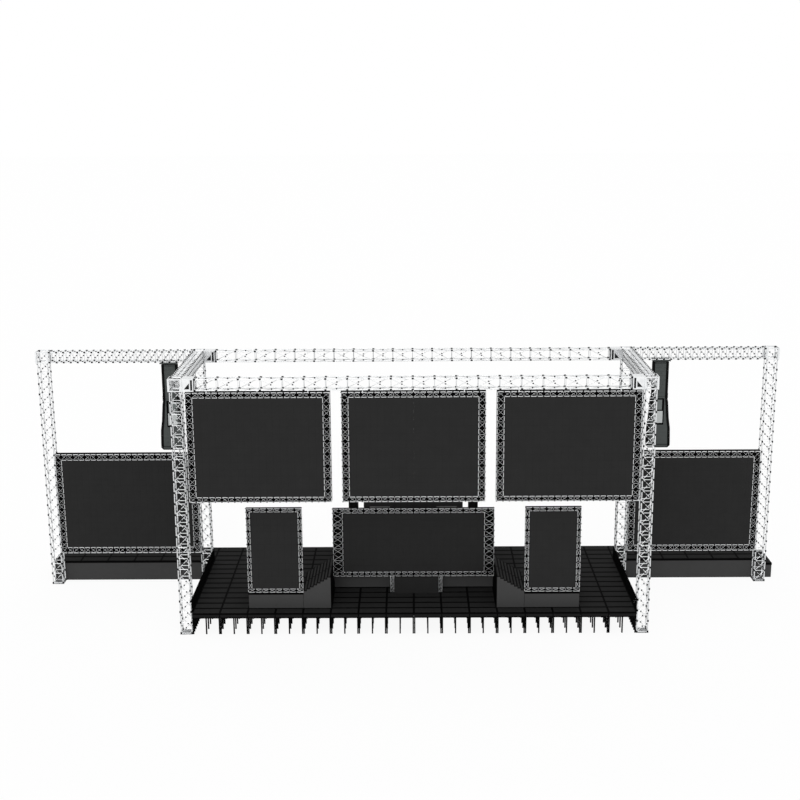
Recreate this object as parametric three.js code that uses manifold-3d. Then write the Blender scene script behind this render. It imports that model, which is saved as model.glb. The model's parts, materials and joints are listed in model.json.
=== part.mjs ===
// An open-air stage under a lifting roof. Six lattice towers stand on the ground. A ring of box
// trusses with a wing beam to each side hangs between sleeve blocks that slide on the towers.
// LED screens, decks, risers and speaker columns complete the set.
// X runs to the viewer's right, Y away from the viewer and Z up, in millimetres.

import * as THREE from "three";
import { mergeVertices } from "three/addons/utils/BufferGeometryUtils.js";
import Module from "manifold-3d";

const wasm = await Module();
wasm.setup();

// General fits
const SEAT_GAP = 0.3; // between faces that rest on each other
const SLIDE_GAP = 0.4; // between a sleeve's collar and the flats of the tower chords
const PIN_GAP = 1; // round a hinge pin, measured at the facets' corners
const OVERRUN = 10; // how far a cutter runs past a face, or a joined piece into its carrier
const WELD = 0.001;
const PIN_FACETS = 12;

// Trusses
const TRUSS_WIDTH = 900; // outer width of towers and roof beams
const CHORD = 80; // across the flats of the eight-sided chords
const BRACE = 30; // width of the lacing bars
const TOWER_BAY = 3150;
const BEAM_BAY = 3000;
const BASE_PLATE_THICKNESS = 12;
const BASE_PLATE_MARGIN = 12;

// Decks
const DECK_WIDTH = 32000;
const DECK_DEPTH = 14000;
const DECK_HEIGHT = 1600;
const DECK_SLAB = 150;
const DECK_EDGE_HEIGHT = 300;
const DECK_EDGE_THICKNESS = 60;
const LEG_WIDTH = 60;
const LEG_PITCH = 4000;
const LEG_ROWS = 4;
const BEARER_HEIGHT = 100;
const PANEL_WALL = 40; // walls of the boxed platforms

// Guard rails
const GUARD_HEIGHT = 1100;
const GUARD_THICKNESS = 50;
const GUARD_BAY = 2000;
const GUARD_POST = 60;
const GUARD_RAIL = 50;

// Roof
const ROOF_UNDERSIDE = 18000;
const WING_SPAN_LEFT = 11090; // clear width between the rear and the outer tower
const WING_SPAN_RIGHT = 10150;
const SLEEVE_WALL = 50;
const COLLAR_HEIGHT = 80;
const STUB_LENGTH = 790; // from the sleeve to the flange of a long beam
const STUB_WALL = 40;
const STUB_OPENING_WIDTH = 370; // of the three-cornered opening in the stub's side plates
const STUB_OPENING_HEIGHT = 430;
const STUB_OPENING_SILL = 170; // from the stub's underside
const STUB_FLANGE = 80; // the plate between that opening and the slot at the joint
const STUB_SLOT = 140;
const STUB_END = 70; // the plate that meets the beam

// Screen frames
const FRAME_TUBE = 50;
const FRAME_SIDE = 530; // width of the upright members of the large frames
const FRAME_DEPTH = 550;
const BACKING_SHEET = 6; // the black sheet behind the lacing and round the edge
const SCREEN_THICKNESS = 120;
const SCREEN_RIB = 60;
const SCREEN_RIB_PITCH = 3000;
const FRAME_BAY = 2400;

const HUNG_HEIGHT = 7960;
const HUNG_RAIL = 405; // height of the top and bottom members
const HUNG_GAP = 750; // between neighbouring frames
const HUNG_TO_TOWER = 160;
const HUNG_MIDDLE_X = 40;
const HUNG_TOP_TO_ROOF = 80;
const HANGER_WIDTH = 60;
const HANGER_SHARES = [-0.35, 0, 0.35]; // of the frame's width

const WING_FRAME_RISE = 1000; // from the deck's top to the frame
const WING_FRAME_HEIGHT = 8150;
const WING_FRAME_RAIL = 500;

const PORTRAIT_HEIGHT = 6400;
const PORTRAIT_MEMBER = 290;
const SMALL_FRAME_DEPTH = 300;
const SMALL_SCREEN_THICKNESS = 100;

const CENTRE_HEIGHT = 5300;
const CENTRE_SIDE = 750;
const CENTRE_RAIL = 350;
const CENTRE_RISE = 1260; // from the deck's top to the frame
const CENTRE_Y = 4000;
const CENTRE_TO_STAIRS = 10;
const CENTRE_LEG_WIDTH = 300;
const CENTRE_LEG_PLACES = [-1600, 2000];
const PLINTH_TO_LEG = 20;
const PLINTH_PROUD = 230; // in front of the centre frame
const PLINTH_DEPTH = 550;
const PLINTH_TO_FRAME = 10;

// Risers, stairs and the back platform
const RISER_INNER = 8000;
const RISER_WIDTH = 4000;
const RISER_FRONT = 1000;
const RISER_DEPTH = 4000;
const RISER_HEIGHT = 1200;
const STEP_COUNT = 8;
const STEP_GOING = 250;
const STEP_RISE = 150;
const STAIR_WAIST = 120; // thickness under the steps
const STAIR_FASCIA = 20;
const PLATFORM_TO_STAIRS = 60;

// Wings
const WING_SLAB = 170;
const WING_FASCIA_INSET = 20;
const WING_DECK_DEPTH = 3100; // from the towers' backs to the main deck's back
const WING_MARGIN_LEFT = 10; // from the outer tower's side to the wing deck's end
const WING_MARGIN_RIGHT = 50;
const END_STEP_WIDTH = 700;
const END_STEP_HEIGHT = 1200;

// Speaker columns
const ARRAY_FROM_DECK_LEFT = 2785; // from the main deck's side to the column's middle
const ARRAY_FROM_DECK_RIGHT = 3115;
const ARRAY_WIDTH = 1270;
const ARRAY_DEPTH = 700;
const ARRAY_TO_FRAME = 70; // from the wing frame's back to the column's front
const ARRAY_HANG = 260; // from the beam's underside to the column's top
const ARRAY_UPPER_LENGTH = 2740;
const ARRAY_LOWER_LENGTH = 4080;
const ARRAY_SEAM_GAP = 15;
const ARRAY_CHEEK = 125;
const ARRAY_CHEEK_DEPTH = 200; // of the straight part of the sides
const ARRAY_BACK_WIDTH = 900;
const ARRAY_GRILLE_RECESS = 20;
const ARRAY_SPLAY_SHARE = 0.11; // rise per depth of the wedge that opens behind the seam
const ARRAY_FLARE = 310; // how far the foot stands out at each side
const ARRAY_FLARE_SHARES = [ // of the way down to the foot, and of the flare there
  [0.05, 0],
  [0.1, 0.16],
  [0.45, 0.5],
  [0.66, 0.88],
  [0.95, 1],
];
const BUMPER_HEIGHT = 270;
const BUMPER_CHAMFER = 180;
const PIN_RADIUS = 25;
const TILT_PIN_RISE = 90; // above the column's top
const TONGUE_THICKNESS = 40;
const TONGUE_WIDTH = 120;
const TONGUE_X = 400;
const SPLAY_PIN_DROP = 70; // below the seam
const SPLAY_PIN_SETBACK = 60;
const EAR_PLATE = 20;
const EAR_SINK = 4; // how far an ear plate is let into its column
const EAR_HEIGHT = 400;
const FLY_BAR_WIDTH = 60;
const FLY_BAR_HEIGHT = 100;
const FLY_BAR_REACH = 30; // past the column's back
const FLY_EAR_DROP = 50; // below the pin

// Pieces on the back platform
const SET_HEIGHT = 1900;
const SET_CABINET_WIDTH = 760;
const SET_CABINET_TO_SIDE = 1170; // from its middle to the platform's side
const SET_CABINET_DEPTH = 800;
const SET_WALL_TO_CABINET = 455;
const SET_WALL_DEPTH = 600;
const SET_TO_BACK = 1500; // from its front to the deck's back
const SET_SLIT = 20;
const SET_SLIT_DEPTH = 60;
const SET_INSET_HEIGHT = 200;
const SET_INSET_SHARES = [0.47, 0.88]; // from the wall's middle to the inset's two ends
const SET_INSET_DROP = 320;
const SET_INSET_DEPTH = 30;

// Places that follow from the sizes above
const CHORD_LINE = (TRUSS_WIDTH - CHORD) / 2; // from a truss's middle to its chords
const SLEEVE_HALF = TRUSS_WIDTH / 2 + SLIDE_GAP + SLEEVE_WALL;
const TOWER_HEIGHT = ROOF_UNDERSIDE + TRUSS_WIDTH;
const CORNER_X = DECK_WIDTH / 2 + SEAT_GAP + TRUSS_WIDTH / 2;
const FRONT_Y = TRUSS_WIDTH / 2;
const REAR_TOWER_Y = DECK_DEPTH - WING_DECK_DEPTH - TRUSS_WIDTH; // its front face
const REAR_Y = REAR_TOWER_Y + TRUSS_WIDTH / 2;
const OUTER_LEFT_X = -(CORNER_X + TRUSS_WIDTH + WING_SPAN_LEFT);
const OUTER_RIGHT_X = CORNER_X + TRUSS_WIDTH + WING_SPAN_RIGHT;
const HUNG_WIDTH = (DECK_WIDTH - 2 * HUNG_GAP - 2 * HUNG_TO_TOWER) / 3;
const CENTRE_BASE = DECK_HEIGHT + CENTRE_RISE;
const STAIR_INNER = RISER_INNER - STEP_COUNT * STEP_GOING;
const PLATFORM_TOP = DECK_HEIGHT + RISER_HEIGHT + STEP_COUNT * STEP_RISE;
const WING_END_LEFT = TRUSS_WIDTH / 2 - OUTER_LEFT_X + WING_MARGIN_LEFT;
const WING_END_RIGHT = TRUSS_WIDTH / 2 + OUTER_RIGHT_X + WING_MARGIN_RIGHT;
const ARRAY_FRONT = REAR_TOWER_Y + FRAME_DEPTH + ARRAY_TO_FRAME;
const ARRAY_TOP = ROOF_UNDERSIDE - ARRAY_HANG;
const ARRAY_SEAM = ARRAY_TOP - ARRAY_UPPER_LENGTH;
const ARRAY_BOTTOM = ARRAY_SEAM - ARRAY_LOWER_LENGTH;
const SET_FRONT_Y = DECK_DEPTH - SET_TO_BACK;
const SET_CABINET_X = STAIR_INNER - SET_CABINET_TO_SIDE;
const SET_WALL_HALF = SET_CABINET_X - SET_CABINET_WIDTH / 2 - SET_WALL_TO_CABINET;

// Materials
const aluminium = new THREE.MeshStandardMaterial({ color: 0xd3d6d9, roughness: 0.35, metalness: 0.9 });
const blackDeck = new THREE.MeshStandardMaterial({ color: 0x1d1d1d, roughness: 0.8, metalness: 0 });
const blackSteel = new THREE.MeshStandardMaterial({ color: 0x161616, roughness: 0.6, metalness: 0.4 });
const ledFace = new THREE.MeshStandardMaterial({ color: 0x282828, roughness: 0.7, metalness: 0 });
const greyFascia = new THREE.MeshStandardMaterial({ color: 0x3c3c3c, roughness: 0.8, metalness: 0 });
const darkPlinth = new THREE.MeshStandardMaterial({ color: 0x202020, roughness: 0.8, metalness: 0 });
const speakerGrey = new THREE.MeshStandardMaterial({ color: 0x4b4f4e, roughness: 0.7, metalness: 0.1 });

const stage = new THREE.Group();

// Solids

// Turns a closed three.js geometry into a solid that can be joined and cut.
function solidOf(geometry) {
  const bare = geometry.index ? geometry.toNonIndexed() : geometry.clone();
  bare.deleteAttribute("normal");
  bare.deleteAttribute("uv");
  const merged = mergeVertices(bare, WELD);
  return new wasm.Manifold(
    new wasm.Mesh({
      numProp: 3,
      vertProperties: merged.attributes.position.array,
      triVerts: new Uint32Array(merged.index.array),
    }),
  );
}

function geometryOf(solid) {
  const mesh = solid.getMesh();
  const geometry = new THREE.BufferGeometry();
  geometry.setAttribute("position", new THREE.BufferAttribute(mesh.vertProperties, 3));
  geometry.setIndex(new THREE.BufferAttribute(mesh.triVerts, 1));
  const faceted = geometry.toNonIndexed();
  faceted.computeVertexNormals();
  return faceted;
}

function joined(solids) {
  return solids.reduce((whole, next) => whole.add(next));
}

// A box between two opposite corners.
function box([x0, y0, z0], [x1, y1, z1]) {
  const geometry = new THREE.BoxGeometry(x1 - x0, y1 - y0, z1 - z0);
  return solidOf(geometry.translate((x0 + x1) / 2, (y0 + y1) / 2, (z0 + z1) / 2));
}

// A box that lies evenly about a centre line along Z, from one height to another.
function post(x, y, widthX, widthY, z0, z1) {
  return box([x - widthX / 2, y - widthY / 2, z0], [x + widthX / 2, y + widthY / 2, z1]);
}

function outline(points, hole) {
  const shape = new THREE.Shape(points.map(([x, y]) => new THREE.Vector2(x, y)));
  if (hole) shape.holes.push(new THREE.Path(hole.map(([x, y]) => new THREE.Vector2(x, y))));
  return shape;
}

function extruded(shape, depth) {
  return new THREE.ExtrudeGeometry(shape, { depth, bevelEnabled: false, curveSegments: PIN_FACETS });
}

// Extrudes an outline drawn in Y and Z along X, from x0 to x1.
function alongX(points, x0, x1) {
  const turn = new THREE.Matrix4().makeBasis(
    new THREE.Vector3(0, 1, 0),
    new THREE.Vector3(0, 0, 1),
    new THREE.Vector3(1, 0, 0),
  );
  return solidOf(extruded(outline(points), x1 - x0).applyMatrix4(turn).translate(x0, 0, 0));
}

// Extrudes an outline drawn in X and Z along Y, from y0 to y1.
function alongY(points, y0, y1, hole) {
  const turn = new THREE.Matrix4().makeBasis(
    new THREE.Vector3(1, 0, 0),
    new THREE.Vector3(0, 0, 1),
    new THREE.Vector3(0, -1, 0),
  );
  return solidOf(extruded(outline(points, hole), y1 - y0).applyMatrix4(turn).translate(0, y1, 0));
}

function rectangle(x0, x1, z0, z1) {
  return [
    [x0, z0],
    [x1, z0],
    [x1, z1],
    [x0, z1],
  ];
}

// Closes a right-hand half outline, listed upwards, with its mirror image.
function mirrored(points) {
  return [...points, ...points.map(([x, z]) => [-x, z]).reverse()];
}

// A round pin along X.
function pinAlongX(radius, x0, x1, y, z) {
  const geometry = new THREE.CylinderGeometry(radius, radius, x1 - x0, PIN_FACETS);
  return solidOf(geometry.rotateZ(Math.PI / 2).translate((x0 + x1) / 2, y, z));
}

// A bar from one point to another, with a section drawn across it. The section's second axis
// follows the given normal.
function bar(from, to, section, normal) {
  const start = new THREE.Vector3(...from);
  const along = new THREE.Vector3(...to).sub(start);
  const length = along.length();
  along.normalize();
  const up = new THREE.Vector3(...normal);
  const side = new THREE.Vector3().crossVectors(up, along).normalize();
  const place = new THREE.Matrix4().makeBasis(side, up, along).setPosition(start);
  return solidOf(extruded(outline(section), length).applyMatrix4(place));
}

// Eight-sided section with a flat towards each of its axes.
function chordSection(acrossFlats) {
  const radius = acrossFlats / 2 / Math.cos(Math.PI / 8);
  return Array.from({ length: 8 }, (_, i) => {
    const angle = ((i + 0.5) * Math.PI) / 4;
    return [radius * Math.cos(angle), radius * Math.sin(angle)];
  });
}

// Three-sided section, as wide as a lacing bar across the face that the bar lies in.
function braceSection(width) {
  return [
    [-width / 2, -width / 2],
    [width / 2, 0],
    [-width / 2, width / 2],
  ];
}

// Trusses

// A square box truss that stands on the origin with its axis on Z. Each face is laced by one
// zigzag, and opposite faces lean opposite ways. The first and third face have the given bays,
// and the other two have sideBays. endBars says which ends have a square of bars.
function boxTruss(length, bays, sideBays, endBars) {
  const corners = [
    [-CHORD_LINE, -CHORD_LINE],
    [CHORD_LINE, -CHORD_LINE],
    [CHORD_LINE, CHORD_LINE],
    [-CHORD_LINE, CHORD_LINE],
  ];
  const normals = [
    [0, -1, 0],
    [1, 0, 0],
    [0, 1, 0],
    [-1, 0, 0],
  ];
  const chord = chordSection(CHORD);
  const brace = braceSection(BRACE);
  const first = CHORD / 2;
  const last = length - CHORD / 2;
  const solids = corners.map(([x, y]) => bar([x, y, 0], [x, y, length], chord, [0, 1, 0]));
  corners.forEach((near, face) => {
    const far = corners[(face + 1) % corners.length];
    const normal = normals[face];
    const count = face % 2 ? sideBays : bays;
    const level = (i) => first + ((last - first) * i) / count;
    if (endBars.bottom) solids.push(bar([...near, first], [...far, first], brace, normal));
    if (endBars.top) solids.push(bar([...near, last], [...far, last], brace, normal));
    for (let i = 0; i < count; i++) {
      const [start, end] = i % 2 ? [far, near] : [near, far];
      solids.push(bar([...start, level(i)], [...end, level(i + 1)], brace, normal));
    }
  });
  return joined(solids);
}

function baysIn(length, bayLength) {
  return Math.max(1, Math.round(length / bayLength));
}

function tower() {
  const half = TRUSS_WIDTH / 2 + BASE_PLATE_MARGIN;
  const plate = box([-half, -half, 0], [half, half, BASE_PLATE_THICKNESS]);
  const bays = baysIn(TOWER_HEIGHT, TOWER_BAY);
  return boxTruss(TOWER_HEIGHT, bays, bays, { top: true }).add(plate);
}

// A roof beam along X, with its middle on the origin.
function roofBeam(length) {
  const toX = new THREE.Matrix4().makeRotationY(Math.PI / 2).setPosition(-length / 2, 0, 0);
  const bays = baysIn(length, BEAM_BAY);
  const flatBays = Math.ceil(bays / 2);
  return boxTruss(length, bays, flatBays, { bottom: true, top: true }).transform(toX.elements);
}

// A corner block about a tower's axis, with its underside on the origin's level. Two collars
// and the four posts between them slide on the tower's chords. stubSide is -1 or 1 where a
// flanged stub reaches towards a long beam, and 0 on a block without one.
function sleeveBlock(stubSide) {
  const outer = SLEEVE_HALF;
  const bore = TRUSS_WIDTH / 2 + SLIDE_GAP;
  const top = TRUSS_WIDTH;
  const windowHalf = outer - SLEEVE_WALL - CHORD;
  const reach = outer + OVERRUN;
  const low = COLLAR_HEIGHT;
  const high = top - COLLAR_HEIGHT;
  let block = box([-outer, -outer, 0], [outer, outer, top]);
  if (stubSide) {
    const start = stubSide * (outer - OVERRUN);
    const end = stubSide * (outer + STUB_LENGTH);
    block = block.add(stub(Math.min(start, end), Math.max(start, end), stubSide));
  }
  return block
    .subtract(box([-bore, -bore, -OVERRUN], [bore, bore, top + OVERRUN]))
    .subtract(box([-reach, -windowHalf, low], [reach, windowHalf, high]))
    .subtract(box([-windowHalf, -reach, low], [windowHalf, reach, high]));
}

// The stub of a sleeve block between two places on X: a tube of the beam's own size. Its side
// plates have a three-cornered opening and, between the two flanges, a slot for the bolts.
function stub(x0, x1, hand) {
  const half = TRUSS_WIDTH / 2;
  const inner = half - STUB_WALL;
  const top = TRUSS_WIDTH;
  const end = hand > 0 ? x1 : x0;
  const slotFar = end - hand * STUB_END;
  const slotNear = slotFar - hand * STUB_SLOT;
  const corner = slotNear - hand * STUB_FLANGE;
  const sill = STUB_OPENING_SILL;
  const triangle = [
    [corner - hand * STUB_OPENING_WIDTH, sill],
    [corner, sill],
    [corner, sill + STUB_OPENING_HEIGHT],
  ];
  const slot = rectangle(Math.min(slotNear, slotFar), Math.max(slotNear, slotFar), CHORD, top - CHORD);
  const points = hand > 0 ? triangle : triangle.reverse();
  return box([x0, -half, 0], [x1, half, top])
    .subtract(box([x0 - OVERRUN, -inner, STUB_WALL], [x1 + OVERRUN, inner, top - STUB_WALL]))
    .subtract(alongY(points, -half - OVERRUN, half + OVERRUN))
    .subtract(alongY(slot, -half - OVERRUN, half + OVERRUN));
}

// Screens

// A rectangular ring in the X-Z plane, about x = 0, of one width all round.
function ring(x1, z0, z1, width, y0, y1) {
  const hole = rectangle(-x1 + width, x1 - width, z0 + width, z1 - width);
  return alongY(rectangle(-x1, x1, z0, z1), y0, y1, hole);
}

// A rectangular loop of square tube.
function tubeLoop(x1, z0, z1, y0) {
  return ring(x1, z0, z1, FRAME_TUBE, y0, y0 + FRAME_TUBE);
}

// The truss frame round a screen: an outer and an inner loop at the front with lacing between
// them, an outer loop at the back, and the black sheet that closes the frame behind the lacing
// and round its edge.
function screenFrame({ width, height, side, rail, depth }) {
  const half = width / 2;
  const inner = half - side + FRAME_TUBE;
  const low = rail - FRAME_TUBE;
  const high = height - rail + FRAME_TUBE;
  const centre = FRAME_TUBE / 2;
  const solids = [
    tubeLoop(half, 0, height, 0),
    tubeLoop(inner, low, high, 0),
    tubeLoop(half, 0, height, depth - FRAME_TUBE),
  ];
  const edge = (FRAME_TUBE - BACKING_SHEET) / 2;
  solids.push(ring(half - edge, edge, height - edge, BACKING_SHEET, centre, depth - centre));
  const backing = alongY(
    rectangle(-half + centre, half - centre, centre, height - centre),
    FRAME_TUBE - BACKING_SHEET / 2,
    FRAME_TUBE + BACKING_SHEET / 2,
    rectangle(-inner + centre, inner - centre, low + centre, high - centre),
  );
  solids.push(backing);
  const brace = braceSection(BRACE);
  const normal = [0, -1, 0];
  const lace = ([x0, z0], [x1, z1]) => {
    solids.push(bar([x0, centre, z0], [x1, centre, z1], brace, normal));
  };
  const evenBays = (length) => 2 * Math.max(1, Math.round(length / FRAME_BAY / 2));
  const outerX = half - centre;
  const innerX = inner - centre;
  const rows = [
    [centre, low + centre],
    [height - centre, high - centre],
  ];
  for (const [outerZ, innerZ] of rows) {
    const bays = evenBays(2 * innerX);
    const at = (i) => [-innerX + (2 * innerX * i) / bays, i % 2 ? outerZ : innerZ];
    for (let i = 0; i < bays; i++) lace(at(i), at(i + 1));
  }
  for (const hand of [-1, 1]) {
    const span = high - low - FRAME_TUBE;
    const bays = evenBays(span);
    const at = (i) => [hand * (i % 2 ? outerX : innerX), low + centre + (span * i) / bays];
    for (let i = 0; i < bays; i++) lace(at(i), at(i + 1));
  }
  return joined(solids);
}

// The LED wall that fills a frame's inner loop, with upright ribs on its back.
function screenPanel({ width, height, side, rail }, thickness) {
  const half = width / 2 - side - SEAT_GAP;
  const z0 = rail + SEAT_GAP;
  const z1 = height - rail - SEAT_GAP;
  const slab = box([-half, 0, z0], [half, thickness - SCREEN_RIB / 2, z1]);
  const gaps = Math.max(1, Math.round((2 * half) / SCREEN_RIB_PITCH));
  const ribs = Array.from({ length: gaps }, (_, i) => {
    const x = -half + ((i + 0.5) * 2 * half) / gaps;
    return box(
      [x - SCREEN_RIB / 2, thickness - SCREEN_RIB, z0 + SCREEN_RIB],
      [x + SCREEN_RIB / 2, thickness, z1 - SCREEN_RIB],
    );
  });
  return joined([slab, ...ribs]);
}

// Bars across the top of a hung frame, from one bottom chord of the beam above to the other.
function hangerBars(frame) {
  const top = frame.height + HUNG_TOP_TO_ROOF - SEAT_GAP;
  return HANGER_SHARES.map((share) =>
    post(
      share * frame.width,
      TRUSS_WIDTH / 2,
      HANGER_WIDTH,
      TRUSS_WIDTH,
      frame.height - OVERRUN,
      top,
    ),
  );
}

// A four-post truss leg under the centre screen's frame.
function centreLeg(x, height) {
  const half = CENTRE_LEG_WIDTH / 2 - FRAME_TUBE / 2;
  const near = FRAME_TUBE / 2;
  const far = SMALL_FRAME_DEPTH - FRAME_TUBE / 2;
  const top = FRAME_TUBE / 2;
  const solids = [];
  for (const px of [x - half, x + half]) {
    for (const py of [near, far]) solids.push(post(px, py, FRAME_TUBE, FRAME_TUBE, -height, top));
  }
  const brace = braceSection(BRACE);
  const middle = -height / 2;
  for (const y of [near, far]) {
    solids.push(bar([x - half, y, -height + FRAME_TUBE], [x + half, y, middle], brace, [0, -1, 0]));
    solids.push(bar([x + half, y, middle + FRAME_TUBE], [x - half, y, 0], brace, [0, -1, 0]));
  }
  for (const px of [x - half, x + half]) {
    const foot = -height + FRAME_TUBE;
    solids.push(bar([px, near, foot], [px, far, -FRAME_TUBE], brace, [1, 0, 0]));
  }
  return joined(solids);
}

// Decks

// The main deck: a slab with a deeper edge all round, open below.
function mainDeck() {
  const half = DECK_WIDTH / 2;
  const low = DECK_HEIGHT - DECK_EDGE_HEIGHT;
  const edge = DECK_EDGE_THICKNESS;
  return box([-half, 0, low], [half, DECK_DEPTH, DECK_HEIGHT]).subtract(
    box(
      [-half + edge, edge, low - OVERRUN],
      [half - edge, DECK_DEPTH - edge, DECK_HEIGHT - DECK_SLAB],
    ),
  );
}

// One row of legs under the deck, joined by the bearer that the slab rests on. It runs along X
// with its middle on the origin.
function legRow() {
  const top = DECK_HEIGHT - DECK_SLAB - SEAT_GAP;
  const low = top - BEARER_HEIGHT;
  const half = DECK_WIDTH / 2 - DECK_EDGE_THICKNESS - SEAT_GAP;
  const first = half - LEG_WIDTH / 2;
  const bays = Math.round(DECK_WIDTH / LEG_PITCH);
  const bearer = box([-half, -LEG_WIDTH / 2, low], [half, LEG_WIDTH / 2, top]);
  const width = LEG_WIDTH - SEAT_GAP;
  const legs = Array.from({ length: bays + 1 }, (_, i) =>
    post(-first + (2 * first * i) / bays, 0, width, width, 0, low + OVERRUN),
  );
  return joined([bearer, ...legs]);
}

// A side rail with posts and three rails, along Y.
function guardRail() {
  const length = DECK_DEPTH - WING_DECK_DEPTH;
  const bays = Math.round(length / GUARD_BAY);
  const pitch = (length - GUARD_POST) / bays;
  const middle = GUARD_HEIGHT / 2;
  let rail = box([0, 0, 0], [GUARD_THICKNESS, length, GUARD_HEIGHT]);
  const rows = [
    [GUARD_RAIL, middle - GUARD_RAIL / 2],
    [middle + GUARD_RAIL / 2, GUARD_HEIGHT - GUARD_RAIL],
  ];
  for (let i = 0; i < bays; i++) {
    const y0 = GUARD_POST + i * pitch;
    for (const [z0, z1] of rows) {
      rail = rail.subtract(
        box([-OVERRUN, y0, z0], [GUARD_THICKNESS + OVERRUN, y0 + pitch - GUARD_POST, z1]),
      );
    }
  }
  return rail;
}

// A boxed platform, open below and at the back, whose slab stands out over the fascias.
function platform({ width, depth, height, slab, inset }) {
  const wall = PANEL_WALL;
  const cover = box([0, 0, height - slab], [width, depth, height]);
  const skirt = box([inset, inset, 0], [width - inset, depth - inset, height - slab + OVERRUN]);
  const hollow = box(
    [inset + wall, inset + wall, -OVERRUN],
    [width - inset - wall, depth + OVERRUN, height - slab],
  );
  return cover.add(skirt).subtract(hollow);
}

// One flight that climbs towards +X from the origin, with a closed fascia on its front.
function stairs() {
  const steps = [];
  for (let i = 0; i < STEP_COUNT; i++) {
    const z = RISER_HEIGHT + (i + 1) * STEP_RISE;
    steps.push([i * STEP_GOING, z], [(i + 1) * STEP_GOING, z]);
  }
  const run = STEP_COUNT * STEP_GOING;
  const full = [[0, 0], ...steps, [run, 0]].reverse();
  const soffitStart = RISER_HEIGHT - STAIR_WAIST;
  const soffitEnd = RISER_HEIGHT + STEP_COUNT * STEP_RISE - STAIR_WAIST - STEP_RISE;
  const hollow = [
    [STAIR_WAIST, -OVERRUN],
    [run - STAIR_WAIST, -OVERRUN],
    [run - STAIR_WAIST, soffitEnd],
    [STAIR_WAIST, soffitStart],
  ];
  return alongY(full, 0, RISER_DEPTH).subtract(
    alongY(hollow, STAIR_FASCIA, RISER_DEPTH - STAIR_FASCIA),
  );
}

// Speaker columns

// A column between two heights, with straight cheeks and a body that narrows to the back, and
// with a shallow recess for the grille across its front.
function speakerBody(halfWidth, z0, z1) {
  const back = ARRAY_BACK_WIDTH / 2;
  const plan = outline([
    [-halfWidth, 0],
    [halfWidth, 0],
    [halfWidth, ARRAY_CHEEK_DEPTH],
    [back, ARRAY_DEPTH],
    [-back, ARRAY_DEPTH],
    [-halfWidth, ARRAY_CHEEK_DEPTH],
  ]);
  return solidOf(extruded(plan, z1 - z0).translate(0, 0, z0));
}

// The upper half of a speaker column. Two tongues on top hang on the fly bar's pin, and two ear
// plates carry the lower half.
function arrayUpper() {
  const half = ARRAY_WIDTH / 2;
  const seam = ARRAY_SEAM + ARRAY_SEAM_GAP / 2;
  const middle = ARRAY_DEPTH / 2;
  const pinZ = ARRAY_TOP + TILT_PIN_RISE;
  const splayZ = ARRAY_SEAM - SPLAY_PIN_DROP;
  const bore = PIN_RADIUS + PIN_GAP;
  const tongueTop = pinZ + TONGUE_WIDTH / 2;
  const earLow = splayZ - TONGUE_WIDTH / 2;
  const face = half - ARRAY_CHEEK;
  const grille = box(
    [-face, -OVERRUN, seam - OVERRUN],
    [face, ARRAY_GRILLE_RECESS, ARRAY_TOP - ARRAY_CHEEK],
  );
  const solids = [speakerBody(half, seam, ARRAY_TOP).subtract(grille)];
  for (const hand of [-1, 1]) {
    const tongueX = hand * TONGUE_X;
    solids.push(
      post(tongueX, middle, TONGUE_THICKNESS, TONGUE_WIDTH, ARRAY_TOP - OVERRUN, tongueTop),
      post(
        hand * (half + EAR_PLATE / 2 - EAR_SINK / 2),
        SPLAY_PIN_SETBACK,
        EAR_PLATE + EAR_SINK,
        2 * SPLAY_PIN_SETBACK - EAR_SINK,
        seam,
        earLow + EAR_HEIGHT,
      ),
      post(
        hand * (half + EAR_PLATE / 2),
        SPLAY_PIN_SETBACK,
        EAR_PLATE,
        2 * SPLAY_PIN_SETBACK - EAR_SINK,
        earLow,
        seam + OVERRUN,
      ),
    );
  }
  const reach = half + EAR_PLATE + OVERRUN;
  return joined(solids)
    .subtract(pinAlongX(bore, -reach, reach, middle, pinZ))
    .subtract(pinAlongX(bore, -reach, reach, SPLAY_PIN_SETBACK, splayZ));
}

// The lower half. Its sides flare out towards a chamfered bumper at the foot, and a wedge of
// air opens behind the seam.
function arrayLower() {
  const half = ARRAY_WIDTH / 2 - SEAT_GAP;
  const wide = ARRAY_WIDTH / 2 + ARRAY_FLARE;
  const seam = ARRAY_SEAM - ARRAY_SEAM_GAP / 2;
  const drop = ARRAY_DEPTH * ARRAY_SPLAY_SHARE;
  const splayZ = ARRAY_SEAM - SPLAY_PIN_DROP;
  const foot = ARRAY_BOTTOM + BUMPER_HEIGHT;
  const flare = wide - half;
  const fall = seam - foot;
  const flank = [
    [wide, foot],
    ...ARRAY_FLARE_SHARES.map(([down, out]) => [half + out * flare, seam - down * fall]).reverse(),
    [half, seam + OVERRUN],
  ];
  const bumper = [
    [wide - BUMPER_CHAMFER, ARRAY_BOTTOM],
    [wide, ARRAY_BOTTOM + BUMPER_CHAMFER],
  ];
  const silhouette = alongY(mirrored([...bumper, ...flank]), -OVERRUN, ARRAY_DEPTH + OVERRUN);
  const face = mirrored(flank.map(([x, z]) => [x - ARRAY_CHEEK, z]));
  const body = speakerBody(wide, ARRAY_BOTTOM, seam)
    .intersect(silhouette)
    .subtract(alongY(face, -OVERRUN, ARRAY_GRILLE_RECESS));
  const wedge = alongX(
    [
      [0, seam],
      [ARRAY_DEPTH + OVERRUN, seam - drop],
      [ARRAY_DEPTH + OVERRUN, seam + OVERRUN],
      [0, seam + OVERRUN],
    ],
    -wide,
    wide,
  );
  const end = half + EAR_PLATE;
  const pin = pinAlongX(PIN_RADIUS, -end, end, SPLAY_PIN_SETBACK, splayZ);
  return body.subtract(wedge).add(pin);
}

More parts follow.
